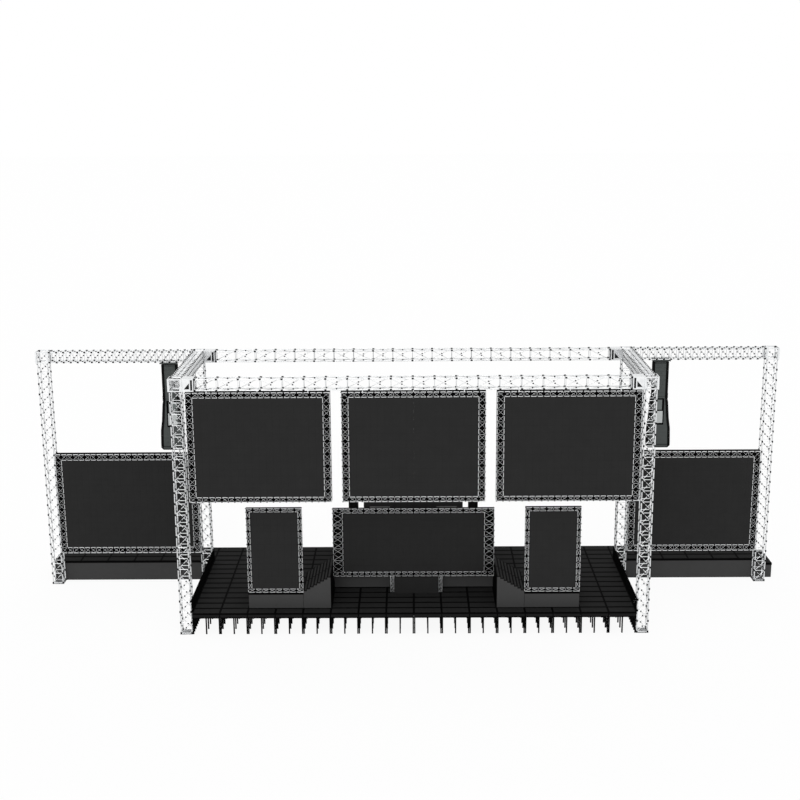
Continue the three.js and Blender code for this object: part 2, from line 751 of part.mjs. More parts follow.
// The bar that a column hangs from, clamped under both bottom chords of the wing beam.
function arrayFlyBar() {
  const top = ROOF_UNDERSIDE - SEAT_GAP;
  const low = top - FLY_BAR_HEIGHT;
  const front = REAR_TOWER_Y - ARRAY_FRONT;
  const back = ARRAY_DEPTH + FLY_BAR_REACH;
  const railX = ARRAY_WIDTH / 2 - FLY_BAR_WIDTH / 2;
  const middle = ARRAY_DEPTH / 2;
  const pinZ = ARRAY_TOP + TILT_PIN_RISE;
  const solids = [];
  for (const hand of [-1, 1]) {
    const x = hand * railX;
    solids.push(post(x, (front + back) / 2, FLY_BAR_WIDTH, back - front, low, top));
    solids.push(post(x, middle, FLY_BAR_WIDTH, TONGUE_WIDTH, pinZ - FLY_EAR_DROP, low + OVERRUN));
  }
  for (const y of [front + FLY_BAR_WIDTH, middle, back - FLY_BAR_WIDTH]) {
    const width = FLY_BAR_WIDTH;
    solids.push(
      box([-railX, y - width / 2, low + OVERRUN], [railX, y + width / 2, top - OVERRUN]),
    );
  }
  solids.push(pinAlongX(PIN_RADIUS, -railX, railX, middle, pinZ));
  return joined(solids);
}

// Pieces on the back platform

function setWall() {
  const half = SET_WALL_HALF;
  let wall = box([-half, 0, 0], [half, SET_WALL_DEPTH, SET_HEIGHT]);
  wall = wall.subtract(
    box([-SET_SLIT / 2, -OVERRUN, SET_SLIT], [SET_SLIT / 2, SET_SLIT_DEPTH, SET_HEIGHT + OVERRUN]),
  );
  const z = SET_HEIGHT - SET_INSET_DROP;
  const [near, far] = SET_INSET_SHARES.map((share) => share * half);
  for (const [x0, x1] of [[-far, -near], [near, far]]) {
    wall = wall.subtract(
      box([x0, -OVERRUN, z - SET_INSET_HEIGHT], [x1, SET_INSET_DEPTH, z]),
    );
  }
  return wall;
}

// Assembly

function place(name, solid, material, x = 0, y = 0, z = 0, turn = 0) {
  const mesh = new THREE.Mesh(geometryOf(solid), material);
  mesh.name = name;
  mesh.position.set(x, y, z);
  mesh.rotation.z = turn;
  stage.add(mesh);
}

function placeTowers() {
  const solid = tower();
  const places = {
    tower_front_left: [-CORNER_X, FRONT_Y],
    tower_front_right: [CORNER_X, FRONT_Y],
    tower_rear_left: [-CORNER_X, REAR_Y],
    tower_rear_right: [CORNER_X, REAR_Y],
    tower_outer_left: [OUTER_LEFT_X, REAR_Y],
    tower_outer_right: [OUTER_RIGHT_X, REAR_Y],
  };
  for (const [name, [x, y]] of Object.entries(places)) place(name, solid, aluminium, x, y);
}

function placeRoof() {
  const blocks = {
    sleeve_block_front_left: [-CORNER_X, FRONT_Y, 1],
    sleeve_block_front_right: [CORNER_X, FRONT_Y, -1],
    sleeve_block_rear_left: [-CORNER_X, REAR_Y, 1],
    sleeve_block_rear_right: [CORNER_X, REAR_Y, -1],
    sleeve_block_outer_left: [OUTER_LEFT_X, REAR_Y, 0],
    sleeve_block_outer_right: [OUTER_RIGHT_X, REAR_Y, 0],
  };
  for (const [name, [x, y, side]] of Object.entries(blocks)) {
    place(name, sleeveBlock(side), aluminium, x, y, ROOF_UNDERSIDE);
  }
  const z = ROOF_UNDERSIDE + TRUSS_WIDTH / 2;
  const long = 2 * (CORNER_X - SLEEVE_HALF - STUB_LENGTH - SEAT_GAP);
  place("roof_beam_front", roofBeam(long), aluminium, 0, FRONT_Y, z);
  place("roof_beam_rear", roofBeam(long), aluminium, 0, REAR_Y, z);
  const short = roofBeam(REAR_Y - FRONT_Y - 2 * (SLEEVE_HALF + SEAT_GAP));
  const middleY = (FRONT_Y + REAR_Y) / 2;
  place("roof_beam_side_left", short, aluminium, -CORNER_X, middleY, z, Math.PI / 2);
  place("roof_beam_side_right", short, aluminium, CORNER_X, middleY, z, Math.PI / 2);
  const wings = { wing_beam_left: OUTER_LEFT_X, wing_beam_right: OUTER_RIGHT_X };
  for (const [name, outerX] of Object.entries(wings)) {
    const length = Math.abs(outerX) - CORNER_X - 2 * (SLEEVE_HALF + SEAT_GAP);
    const x = (outerX + Math.sign(outerX) * CORNER_X) / 2;
    place(name, roofBeam(length), aluminium, x, REAR_Y, z);
  }
}

function placeHungScreens() {
  const frame = {
    width: HUNG_WIDTH,
    height: HUNG_HEIGHT,
    side: FRAME_SIDE,
    rail: HUNG_RAIL,
    depth: FRAME_DEPTH,
  };
  const frameSolid = joined([screenFrame(frame), ...hangerBars(frame)]);
  const panel = screenPanel(frame, SCREEN_THICKNESS);
  const z = ROOF_UNDERSIDE - HUNG_TOP_TO_ROOF - HUNG_HEIGHT;
  ["left", "centre", "right"].forEach((side, i) => {
    const x = HUNG_MIDDLE_X + (i - 1) * (HUNG_WIDTH + HUNG_GAP);
    place(`hung_frame_${side}`, frameSolid, aluminium, x, 0, z);
    place(`hung_screen_${side}`, panel, ledFace, x, 0, z);
  });
}

function placeWingScreens() {
  const inner = CORNER_X + TRUSS_WIDTH / 2;
  const wings = { left: [-1, WING_SPAN_LEFT], right: [1, WING_SPAN_RIGHT] };
  for (const [side, [hand, span]] of Object.entries(wings)) {
    const frame = {
      width: span - 2 * SEAT_GAP,
      height: WING_FRAME_HEIGHT,
      side: FRAME_SIDE,
      rail: WING_FRAME_RAIL,
      depth: FRAME_DEPTH,
    };
    const x = hand * (inner + span / 2);
    const z = DECK_HEIGHT + WING_FRAME_RISE;
    place(`wing_frame_${side}`, screenFrame(frame), aluminium, x, REAR_TOWER_Y, z);
    const panel = screenPanel(frame, SCREEN_THICKNESS);
    place(`wing_screen_${side}`, panel, ledFace, x, REAR_TOWER_Y, z);
  }
}

function placeStandingScreens() {
  const portrait = {
    width: RISER_WIDTH,
    height: PORTRAIT_HEIGHT,
    side: PORTRAIT_MEMBER,
    rail: PORTRAIT_MEMBER,
    depth: SMALL_FRAME_DEPTH,
  };
  const portraitFrame = screenFrame(portrait);
  const portraitPanel = screenPanel(portrait, SMALL_SCREEN_THICKNESS);
  const z = DECK_HEIGHT + RISER_HEIGHT + 2 * SEAT_GAP;
  for (const [side, hand] of Object.entries({ left: -1, right: 1 })) {
    const x = hand * (RISER_INNER + RISER_WIDTH / 2);
    place(`portrait_frame_${side}`, portraitFrame, aluminium, x, RISER_FRONT, z);
    place(`portrait_screen_${side}`, portraitPanel, ledFace, x, RISER_FRONT, z);
  }
  const centre = {
    width: 2 * (STAIR_INNER - CENTRE_TO_STAIRS),
    height: CENTRE_HEIGHT,
    side: CENTRE_SIDE,
    rail: CENTRE_RAIL,
    depth: SMALL_FRAME_DEPTH,
  };
  const legHeight = CENTRE_BASE - DECK_HEIGHT - SEAT_GAP;
  const legs = CENTRE_LEG_PLACES.map((x) => centreLeg(x, legHeight));
  const frameSolid = joined([screenFrame(centre), ...legs]);
  place("centre_frame", frameSolid, aluminium, 0, CENTRE_Y, CENTRE_BASE);
  const panel = screenPanel(centre, SMALL_SCREEN_THICKNESS);
  place("centre_screen", panel, ledFace, 0, CENTRE_Y, CENTRE_BASE);
  const [left, right] = CENTRE_LEG_PLACES;
  const margin = CENTRE_LEG_WIDTH / 2 + PLINTH_TO_LEG;
  const front = CENTRE_Y - PLINTH_PROUD;
  const plinth = box(
    [left + margin, front, DECK_HEIGHT + SEAT_GAP],
    [right - margin, front + PLINTH_DEPTH, CENTRE_BASE - PLINTH_TO_FRAME],
  );
  place("screen_plinth", plinth, darkPlinth);
}

function placeDecks() {
  place("main_deck", mainDeck(), blackDeck);
  const row = legRow();
  const firstRow = DECK_EDGE_THICKNESS + LEG_WIDTH / 2 + SEAT_GAP;
  const rowPitch = (DECK_DEPTH - 2 * firstRow) / (LEG_ROWS - 1);
  for (let i = 0; i < LEG_ROWS; i++) {
    place(`deck_leg_row_${i + 1}`, row, blackSteel, 0, firstRow + i * rowPitch);
  }
  const rail = guardRail();
  const deckTop = DECK_HEIGHT + SEAT_GAP;
  place("guard_rail_left", rail, blackSteel, -DECK_WIDTH / 2, 0, deckTop);
  place("guard_rail_right", rail, blackSteel, DECK_WIDTH / 2 - GUARD_THICKNESS, 0, deckTop);
  const riser = platform({
    width: RISER_WIDTH,
    depth: RISER_DEPTH,
    height: RISER_HEIGHT,
    slab: WING_SLAB,
    inset: WING_FASCIA_INSET,
  });
  place("riser_left", riser, greyFascia, -RISER_INNER - RISER_WIDTH, RISER_FRONT, deckTop);
  place("riser_right", riser, greyFascia, RISER_INNER, RISER_FRONT, deckTop);
  const flight = stairs();
  const back = RISER_FRONT + RISER_DEPTH;
  place("stairs_left", flight, greyFascia, -RISER_INNER + SEAT_GAP, RISER_FRONT, deckTop);
  place("stairs_right", flight, greyFascia, RISER_INNER - SEAT_GAP, back, deckTop, Math.PI);
  const platformY = back + PLATFORM_TO_STAIRS;
  const backPlatform = platform({
    width: 2 * STAIR_INNER,
    depth: DECK_DEPTH - platformY,
    height: PLATFORM_TOP - DECK_HEIGHT,
    slab: WING_SLAB,
    inset: WING_FASCIA_INSET,
  });
  place("centre_platform", backPlatform, greyFascia, -STAIR_INNER, platformY, deckTop);
}

function placeWingDecks() {
  const front = DECK_DEPTH - WING_DECK_DEPTH + SEAT_GAP;
  const inner = DECK_WIDTH / 2 + SEAT_GAP;
  const deck = (width, height) =>
    platform({
      width,
      depth: DECK_DEPTH - front,
      height,
      slab: WING_SLAB,
      inset: WING_FASCIA_INSET,
    });
  const left = deck(WING_END_LEFT - inner, DECK_HEIGHT);
  place("wing_deck_left", left, greyFascia, -WING_END_LEFT, front);
  place("wing_deck_right", deck(WING_END_RIGHT - inner, DECK_HEIGHT), greyFascia, inner, front);
  const stepX = WING_END_RIGHT - WING_FASCIA_INSET + SEAT_GAP;
  const step = deck(WING_END_RIGHT + END_STEP_WIDTH - stepX, END_STEP_HEIGHT);
  place("wing_end_step", step, greyFascia, stepX, front);
}

function placeSpeakers() {
  const upper = arrayUpper();
  const lower = arrayLower();
  const flyBar = arrayFlyBar();
  const places = {
    left: -DECK_WIDTH / 2 - ARRAY_FROM_DECK_LEFT,
    right: DECK_WIDTH / 2 + ARRAY_FROM_DECK_RIGHT,
  };
  for (const [side, x] of Object.entries(places)) {
    place(`array_fly_bar_${side}`, flyBar, blackSteel, x, ARRAY_FRONT);
    place(`array_upper_${side}`, upper, speakerGrey, x, ARRAY_FRONT);
    place(`array_lower_${side}`, lower, speakerGrey, x, ARRAY_FRONT);
  }
}

function placeSet() {
  const z = PLATFORM_TOP + 2 * SEAT_GAP;
  place("set_wall", setWall(), darkPlinth, 0, SET_FRONT_Y, z);
  const cabinet = post(
    0,
    SET_CABINET_DEPTH / 2,
    SET_CABINET_WIDTH,
    SET_CABINET_DEPTH,
    0,
    SET_HEIGHT,
  );
  place("set_cabinet_left", cabinet, darkPlinth, -SET_CABINET_X, SET_FRONT_Y, z);
  place("set_cabinet_right", cabinet, darkPlinth, SET_CABINET_X, SET_FRONT_Y, z);
}

placeTowers();
placeRoof();
placeHungScreens();
placeWingScreens();
placeStandingScreens();
placeDecks();
placeWingDecks();
placeSpeakers();
placeSet();

// The origin lies on the ground below the middle of the whole.
const bounds = new THREE.Box3().setFromObject(stage);
const middle = bounds.getCenter(new THREE.Vector3());
stage.position.set(-middle.x, -middle.y, 0);

export default stage;
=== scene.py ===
import json
import math

import bmesh
import bpy
from mathutils import Matrix, Vector


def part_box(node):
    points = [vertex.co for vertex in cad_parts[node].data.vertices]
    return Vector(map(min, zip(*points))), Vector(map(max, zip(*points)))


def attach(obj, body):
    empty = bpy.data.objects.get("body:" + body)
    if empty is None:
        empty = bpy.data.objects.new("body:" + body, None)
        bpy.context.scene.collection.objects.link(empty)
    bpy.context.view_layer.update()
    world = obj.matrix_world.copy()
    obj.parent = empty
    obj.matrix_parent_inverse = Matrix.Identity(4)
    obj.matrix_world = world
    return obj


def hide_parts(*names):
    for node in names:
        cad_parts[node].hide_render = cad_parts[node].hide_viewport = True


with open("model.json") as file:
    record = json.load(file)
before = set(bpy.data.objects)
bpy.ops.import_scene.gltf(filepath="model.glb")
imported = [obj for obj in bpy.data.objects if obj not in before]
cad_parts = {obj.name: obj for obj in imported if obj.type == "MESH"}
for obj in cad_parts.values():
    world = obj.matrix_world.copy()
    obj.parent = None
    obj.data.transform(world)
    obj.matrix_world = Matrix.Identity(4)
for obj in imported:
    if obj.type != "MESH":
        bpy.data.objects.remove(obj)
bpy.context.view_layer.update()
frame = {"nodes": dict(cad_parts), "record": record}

scene = bpy.context.scene
bodies = frame["record"]["behaviour"]["bodies"]
node_body = {name: body for body, names in bodies.items() for name in names}

# Camera
# A long lens, high up and far in front of the stage, a little to its right.
SENSOR_MM = 36
LENS_MM = 57.628
CAMERA_PLACE = Vector((0.0222, -93.1028, 37.667))
CAMERA_YAW = math.radians(-0.526)
CAMERA_PITCH = math.radians(13.278)
CAMERA_ROLL = math.radians(-0.423)
CAMERA_REACH = 1500

camera_data = bpy.data.cameras.new("stage_camera")
camera_data.sensor_width = SENSOR_MM
camera_data.lens = LENS_MM
camera_data.clip_end = CAMERA_REACH
camera = bpy.data.objects.new("stage_camera", camera_data)
scene.collection.objects.link(camera)
turn = Matrix.Rotation(-CAMERA_YAW, 4, "Z") @ Matrix.Rotation(math.pi / 2 - CAMERA_PITCH, 4, "X")
camera.matrix_world = Matrix.Translation(CAMERA_PLACE) @ turn @ Matrix.Rotation(CAMERA_ROLL, 4, "Z")
scene.camera = camera

# Studio
# A white studio: an even sky, one broad soft lamp from the front, and a white floor that keeps
# a pale shadow of the stage.
FLOOR_WHITE = "#ffffff"
SKY_WHITE = "#ffffff"
FLOOR_SIZE = 1600
SKY_LEVEL = 0.84
LAMP_LEVEL = 0.85
LAMP_SPREAD = math.radians(25)
LAMP_TURN = (math.radians(70), 0, math.radians(-7))
SHADOW_SHARE = 0.08


def linear(code):
    """The linear colour of an sRGB hex code."""
    values = [int(code[i : i + 2], 16) / 255 for i in (1, 3, 5)]
    return [v / 12.92 if v <= 0.04045 else ((v + 0.055) / 1.055) ** 2.4 for v in values] + [1.0]


def add_node(tree, kind, settings=None, links=None):
    """Adds a node, sets its values and links its inputs. A whole number is an input's place."""
    made = tree.nodes.new(kind)
    for key, value in (settings or {}).items():
        if isinstance(key, int) or key in made.inputs:
            made.inputs[key].default_value = value
        else:
            setattr(made, key, value)
    for key, source in (links or {}).items():
        tree.links.new(source, made.inputs[key])
    return made


def new_tree(name):
    """An empty node material, and its tree."""
    material = bpy.data.materials.new(name)
    material.use_nodes = True
    material.node_tree.nodes.clear()
    return material, material.node_tree


def seen_ray(tree):
    """1 for what the camera sees, straight or in metal or glass, and 0 for light on things."""
    outputs = add_node(tree, "ShaderNodeLightPath").outputs
    first = add_node(tree, "ShaderNodeMath", {"operation": "MAXIMUM"},
                     {0: outputs["Is Camera Ray"], 1: outputs["Is Glossy Ray"]})
    both = add_node(tree, "ShaderNodeMath", {"operation": "MAXIMUM"},
                    {0: first.outputs[0], 1: outputs["Is Transmission Ray"]})
    return both.outputs[0]


scene.view_settings.view_transform = "Standard"
world = bpy.data.worlds.new("white_studio")
scene.world = world
world.use_nodes = True
tree = world.node_tree
tree.nodes.clear()
level = add_node(tree, "ShaderNodeMapRange", {"To Min": SKY_LEVEL, "To Max": 1.0},
                 {"Value": seen_ray(tree)})
sky = add_node(tree, "ShaderNodeBackground", {"Color": linear(SKY_WHITE)},
               {"Strength": level.outputs[0]})
add_node(tree, "ShaderNodeOutputWorld", {}, {"Surface": sky.outputs[0]})

lamp_data = bpy.data.lights.new("soft_lamp", "SUN")
lamp_data.energy = LAMP_LEVEL
lamp_data.angle = LAMP_SPREAD
lamp = bpy.data.objects.new("soft_lamp", lamp_data)
lamp.rotation_euler = LAMP_TURN
scene.collection.objects.link(lamp)

white_floor, tree = new_tree("white_floor")
paint = add_node(tree, "ShaderNodeBsdfDiffuse", {"Color": linear(FLOOR_WHITE)})
glow = add_node(tree, "ShaderNodeEmission", {"Color": linear(SKY_WHITE)})
share = add_node(tree, "ShaderNodeMath", {"operation": "MULTIPLY", 1: 1 - SHADOW_SHARE},
                 {0: seen_ray(tree)})
mixed = add_node(tree, "ShaderNodeMixShader", {},
                 {0: share.outputs[0], 1: paint.outputs[0], 2: glow.outputs[0]})
add_node(tree, "ShaderNodeOutputMaterial", {}, {"Surface": mixed.outputs[0]})

bpy.ops.object.select_all(action="DESELECT")
bpy.ops.mesh.primitive_plane_add(size=FLOOR_SIZE)
floor = bpy.context.object
floor.name = "studio_floor"
floor.data.materials.append(white_floor)

# Towers
# Six square lattice towers of welded aluminium tube: four round chords, with a post and a
# slanted bar in each face of every bay, and dark clamp collars where the bars meet a chord and
# in the middle of each slanted bar. Each stands on a welded base plate.
CHORD_RADIUS = 0.037
TUBE_WALL = 0.006
TUBE_RECESS = 0.05
TUBE_USUAL_LENGTH = 8
BAR_RADIUS = 0.021
BAR_END_SHARE = 0.05
BAR_PINCH = 0.72
COLLAR_RADIUS = 0.06
COLLAR_HALF = 0.075
COLLAR_EDGE_PART = 6
BRACE_COLLAR_RADIUS = 0.045
BRACE_COLLAR_HALF = 0.05
TOWER_BAY = 0.82
TOWER_WIDTH = 0.9
BASE_THICKNESS = 0.012
BASE_BEVEL = 0.003
FOOT_BOLT_RADIUS = 0.018
FOOT_BOLT_HEIGHT = 0.022
FOOT_BOLT_IN = 0.055
FOOT_BOLT_SHARES = ((0.62, 1.0), (1.0, 0.62))
ALUMINIUM_LIGHT = "#f2f3f3"
ALUMINIUM_DARK = "#d6d8da"
ALUMINIUM_CLOUD_MM = 420
ALUMINIUM_DRAW_MM = 9
COLLAR_BLACK = "#0b0b0c"
COLLAR_WORN = "#1c1d1e"
COLLAR_CLOUD_MM = 60
SMOOTH_UNDER = math.radians(30)
FACING = 0.9
X, Y, Z = Vector((1, 0, 0)), Vector((0, 1, 0)), Vector((0, 0, 1))


def select_only(*objects):
    """Selects these objects and nothing else; the first one is the active one."""
    bpy.ops.object.select_all(action="DESELECT")
    for item in objects:
        item.select_set(True)
    bpy.context.view_layer.objects.active = objects[0]


def place_in_mesh(piece):
    """Moves an object's place, turn and size into its mesh."""
    select_only(piece)
    bpy.ops.object.transform_apply(location=True, rotation=True, scale=True)


def block(centre, size, bevel=0.0):
    """A block with bevelled edges."""
    select_only(floor)
    bpy.ops.mesh.primitive_cube_add(size=1, location=centre)
    made = bpy.context.object
    made.scale = size
    place_in_mesh(made)
    if bevel:
        bpy.ops.object.mode_set(mode="EDIT")
        bpy.ops.mesh.select_all(action="SELECT")
        bpy.ops.mesh.bevel(offset=bevel, segments=1, affect="EDGES")
        bpy.ops.object.mode_set(mode="OBJECT")
    return made


def select_facing(piece, *ways):
    """In edit mode, selects the faces that look one of these ways, and no others."""
    bpy.ops.mesh.select_all(action="DESELECT")
    bpy.ops.mesh.select_mode(type="FACE")
    mesh = bmesh.from_edit_mesh(piece.data)
    for face in mesh.faces:
        face.select_set(any(face.normal.dot(way) > FACING for way in ways))
    mesh.select_flush_mode()
    bmesh.update_edit_mesh(piece.data)


def extrude(x, y, z):
    """In edit mode, pulls the selected faces out by a step, with new faces round them."""
    bpy.ops.mesh.extrude_region_move(TRANSFORM_OT_translate={"value": (x, y, z)})


def keep_mesh(piece):
    """Takes the mesh of a finished pattern piece and removes its object."""
    mesh = piece.data
    bpy.data.objects.remove(piece)
    return mesh


def pattern_tube(radius, sides):
    """A tube one metre long, to be copied to any length. Its ends are open and show its wall,
    and they are as deep as they should be on a tube of the usual length."""
    select_only(floor)
    bpy.ops.mesh.primitive_cylinder_add(vertices=sides, radius=radius, depth=1,
                                        location=(0, 0, 0.5))
    tube = bpy.context.object
    place_in_mesh(tube)
    bpy.ops.object.mode_set(mode="EDIT")
    select_facing(tube, Z, -Z)
    bpy.ops.mesh.inset(thickness=TUBE_WALL, use_individual=True)
    extrude(0, 0, 0)
    bpy.ops.transform.resize(value=(1, 1, 1 - 2 * TUBE_RECESS / TUBE_USUAL_LENGTH))
    bpy.ops.object.mode_set(mode="OBJECT")
    return keep_mesh(tube)


def pattern_bar(radius, sides):
    """A bar one metre long with its ends pinched for the weld."""
    select_only(floor)
    bpy.ops.mesh.primitive_cylinder_add(vertices=sides, radius=radius,
                                        depth=1 - 2 * BAR_END_SHARE, location=(0, 0, 0.5))
    bar = bpy.context.object
    place_in_mesh(bar)
    bpy.ops.object.mode_set(mode="EDIT")
    for hand in (-1, 1):
        select_facing(bar, hand * Z)
        extrude(0, 0, hand * BAR_END_SHARE)
        bpy.ops.transform.resize(value=(BAR_PINCH, BAR_PINCH, 1))
    bpy.ops.object.mode_set(mode="OBJECT")
    return keep_mesh(bar)


def pattern_collar(radius, half, sides):
    """A clamp collar about a chord, with its edges turned in."""
    select_only(floor)
    bpy.ops.mesh.primitive_cylinder_add(vertices=sides, radius=radius, depth=2 * half)
    collar = bpy.context.object
    bpy.ops.object.mode_set(mode="EDIT")
    select_facing(collar, Z, -Z)
    bpy.ops.mesh.bevel(offset=radius / COLLAR_EDGE_PART, segments=1, affect="EDGES")
    bpy.ops.object.mode_set(mode="OBJECT")
    return keep_mesh(collar)


def copy_at(mesh, matrix):
    """A copy of a pattern piece with its own mesh, its place in that mesh."""
    made = bpy.data.objects.new(mesh.name, mesh.copy())
    made.data.transform(matrix)
    scene.collection.objects.link(made)
    return made


def turn_along(way):
    """The turn that lays a pattern piece's length along a way."""
    return way.to_track_quat("Z", "Y").to_matrix().to_4x4()


def between(mesh, start, end):
    """A copy of a one-metre pattern, laid from one point to another."""
    way = end - start
    stretch = Matrix.Diagonal((1, 1, way.length, 1))
    return copy_at(mesh, Matrix.Translation(start) @ turn_along(way) @ stretch)


def join(parts):
    """Joins objects into the first."""
    select_only(*parts)
    if len(parts) > 1:
        bpy.ops.object.join()
    return parts[0]


def repeat(piece, count, step):
    """Repeats a piece along a step."""
    if count < 2:
        return piece
    rows = piece.modifiers.new("repeat", "ARRAY")
    rows.use_relative_offset = False
    rows.use_constant_offset = True
    rows.constant_offset_displace = step
    rows.count = count
    select_only(piece)
    bpy.ops.object.modifier_apply(modifier=rows.name)
    return piece


def give_material(piece, material):
    """Makes this a piece's only material."""
    piece.data.materials.clear()
    piece.data.materials.append(material)


def finish_piece(piece, name, carrier, material, nodes=()):
    """Names a piece and gives it its finish, the body of its carrier, and what it stands for."""
    piece.name = name
    piece.data.name = name
    give_material(piece, material)
    select_only(piece)
    bpy.ops.object.shade_smooth_by_angle(angle=SMOOTH_UNDER)
    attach(piece, node_body[carrier])
    if nodes:
        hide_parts(*nodes)
    return piece


def texture(tree, mm, kind="ShaderNodeTexNoise", output=0, **values):
    """A pattern in Object coordinates, its scale worked out from a real size in millimetres."""
    where = add_node(tree, "ShaderNodeTexCoord").outputs["Object"]
    return add_node(tree, kind, {"Scale": 1000 / mm, **values}, {"Vector": where}).outputs[output]


def spread(tree, share, low, high):
    """A value that a pattern spreads between two."""
    node = add_node(tree, "ShaderNodeMapRange", {"To Min": low, "To Max": high}, {"Value": share})
    return node.outputs[0]


def bumps(tree, height, strength, depth):
    """Normals that a pattern turns, with a depth in metres."""
    node = add_node(tree, "ShaderNodeBump", {"Strength": strength, "Distance": depth},
                    {"Height": height})
    return node.outputs[0]


def shade(tree, dark, light, clouds, values, **links):
    """Ends a material: a shader with these values and links, and a colour that clouds mix."""
    tint = add_node(tree, "ShaderNodeMix",
                    {"data_type": "RGBA", 6: linear(dark), 7: linear(light)}, {0: clouds})
    links["Base Color"] = tint.outputs[2]
    shader = add_node(tree, "ShaderNodeBsdfPrincipled", values, links)
    add_node(tree, "ShaderNodeOutputMaterial", {}, {"Surface": shader.outputs[0]})


# Mill-finish aluminium tube: bright and even, with cloudy handling marks and fine draw lines.
mill_aluminium, tree = new_tree("mill_aluminium")
clouds = texture(tree, ALUMINIUM_CLOUD_MM, Detail=4.0)
draws = texture(tree, ALUMINIUM_DRAW_MM, Detail=2.0)
shade(tree, ALUMINIUM_DARK, ALUMINIUM_LIGHT, clouds, {"Metallic": 1.0},
      Roughness=spread(tree, clouds, low=0.30, high=0.52),
      Normal=bumps(tree, draws, strength=0.12, depth=0.0006))

# Black zinc-coated steel clamps: dark, half dull, rubbed grey where they have been turned.
black_clamp, tree = new_tree("black_zinc_steel")
wear = texture(tree, COLLAR_CLOUD_MM, Detail=5.0)
shade(tree, COLLAR_BLACK, COLLAR_WORN, wear, {"Metallic": 0.0, "Specular IOR Level": 0.1},
      Roughness=spread(tree, wear, low=0.38, high=0.6))

chord_mesh = pattern_tube(CHORD_RADIUS, sides=12)
bar_mesh = pattern_bar(BAR_RADIUS, sides=8)
collar_mesh = pattern_collar(COLLAR_RADIUS, COLLAR_HALF, sides=10)
brace_collar_mesh = pattern_collar(BRACE_COLLAR_RADIUS, BRACE_COLLAR_HALF, sides=8)


def lattice(start, along, across, up, length, bays, width, height):
    """A box truss from start along its middle line: its tubes, and its dark collars."""
    reach = (width / 2 - COLLAR_RADIUS, height / 2 - COLLAR_RADIUS)
    signs = [(-1, -1), (1, -1), (1, 1), (-1, 1)]
    corners = [across * (reach[0] * a) + up * (reach[1] * b) for a, b in signs]
    sides = [(corners[i], corners[(i + 1) % 4]) for i in range(4)]
    first = start + along * COLLAR_HALF
    pitch = along * ((length - 2 * COLLAR_HALF) / bays)
    one_bay = []
    for near, far in sides:
        one_bay.append(between(bar_mesh, first + near, first + far))
        one_bay.append(between(bar_mesh, first + near, first + far + pitch))
    tubes = [repeat(join(one_bay), bays, pitch)]
    last = first + pitch * bays
    for near, far in sides:
        tubes.append(between(bar_mesh, last + near, last + far))
        tubes.append(between(chord_mesh, start + near, start + near + along * length))
    turned = turn_along(along)
    centres = [(near + far + pitch) / 2 for near, far in sides]
    collars = [copy_at(collar_mesh, Matrix.Translation(first + p) @ turned) for p in corners]
    braces = [copy_at(brace_collar_mesh, Matrix.Translation(first + p) @ turned) for p in centres]
    knots = [repeat(join(collars), bays + 1, pitch), repeat(join(braces), bays, pitch)]
    return join(tubes), join(knots)


for place in ("front", "rear", "outer"):
    for side in ("left", "right"):
        node = f"tower_{place}_{side}"
        low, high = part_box(node)
        middle = (low + high) / 2
        foot = Vector((middle.x, middle.y, low.z + BASE_THICKNESS))
        height = high.z - foot.z
        bays = round(height / TOWER_BAY)
        tubes, collars = lattice(foot, Z, X, Y, height, bays, TOWER_WIDTH, TOWER_WIDTH)
        plate = block((middle.x, middle.y, low.z + BASE_THICKNESS / 2),
                      (high.x - low.x, high.y - low.y, BASE_THICKNESS), BASE_BEVEL)
        bolts = []
        reach = (high.x - low.x) / 2 - FOOT_BOLT_IN
        for a in (-1, 1):
            for b in (-1, 1):
                for u, v in FOOT_BOLT_SHARES:
                    at = Vector((middle.x + a * reach * u, middle.y + b * reach * v, foot.z))
                    bolt_mesh = pattern_bar(FOOT_BOLT_RADIUS, sides=6)
                    bolts.append(between(bolt_mesh, at, at + Z * FOOT_BOLT_HEIGHT))
        finish_piece(join([tubes, plate]), f"{node}_lattice", node,
                     mill_aluminium, [node])
        finish_piece(join([collars, *bolts]), f"{node}_collars", node, black_clamp)

# Roof beams
# The roof ring and the two wing beams: box trusses of the same tube, with 1.5 m bays on the
# long beams and close lacing on the side beams and the wings.
ROOF_BAY = 1.5
SIDE_BAY = 0.5
WING_BAY = 0.55
BEAM_WIDTH = 0.9

for node, bay in (("roof_beam_front", ROOF_BAY), ("roof_beam_rear", ROOF_BAY),
                  ("roof_beam_side_left", SIDE_BAY), ("roof_beam_side_right", SIDE_BAY),
                  ("wing_beam_left", WING_BAY), ("wing_beam_right", WING_BAY)):
    low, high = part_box(node)
    middle = (low + high) / 2
    if "side" in node:
        start, along, across = Vector((middle.x, low.y, middle.z)), Y, X
        length = high.y - low.y
    else:
        start, along, across = Vector((low.x, middle.y, middle.z)), X, Y
        length = high.x - low.x
    tubes, collars = lattice(start, along, across, Z, length, round(length / bay),
                             BEAM_WIDTH, high.z - low.z)
    finish_piece(tubes, f"{node}_lattice", node, mill_aluminium, [node])
    finish_piece(collars, f"{node}_collars", node, black_clamp)

# Sleeve blocks
# The corner blocks that ring the towers and hold the beams: welded aluminium plate, which
# stays as the solid. Black splice plates line the stub, and bolts cross the slot at its flange.
STUB_SLOT_FROM_END = 0.07
STUB_SLOT = 0.14
STUB_WALL = 0.04
STUB_HALF = 0.45
SPLICE_REACH = 0.62
SPLICE_PAST_SLOT = 0.02
SPLICE_HEIGHT = 0.74
SPLICE_THICKNESS = 0.008
SPLICE_BEVEL = 0.002
SPLICE_HEAD_RADIUS = 0.018
SPLICE_BOLT_RADIUS = 0.012
SPLICE_BOLTS = 5
SPLICE_BOLT_STEP = 0.14
SPLICE_BOLT_LET_IN = 0.004


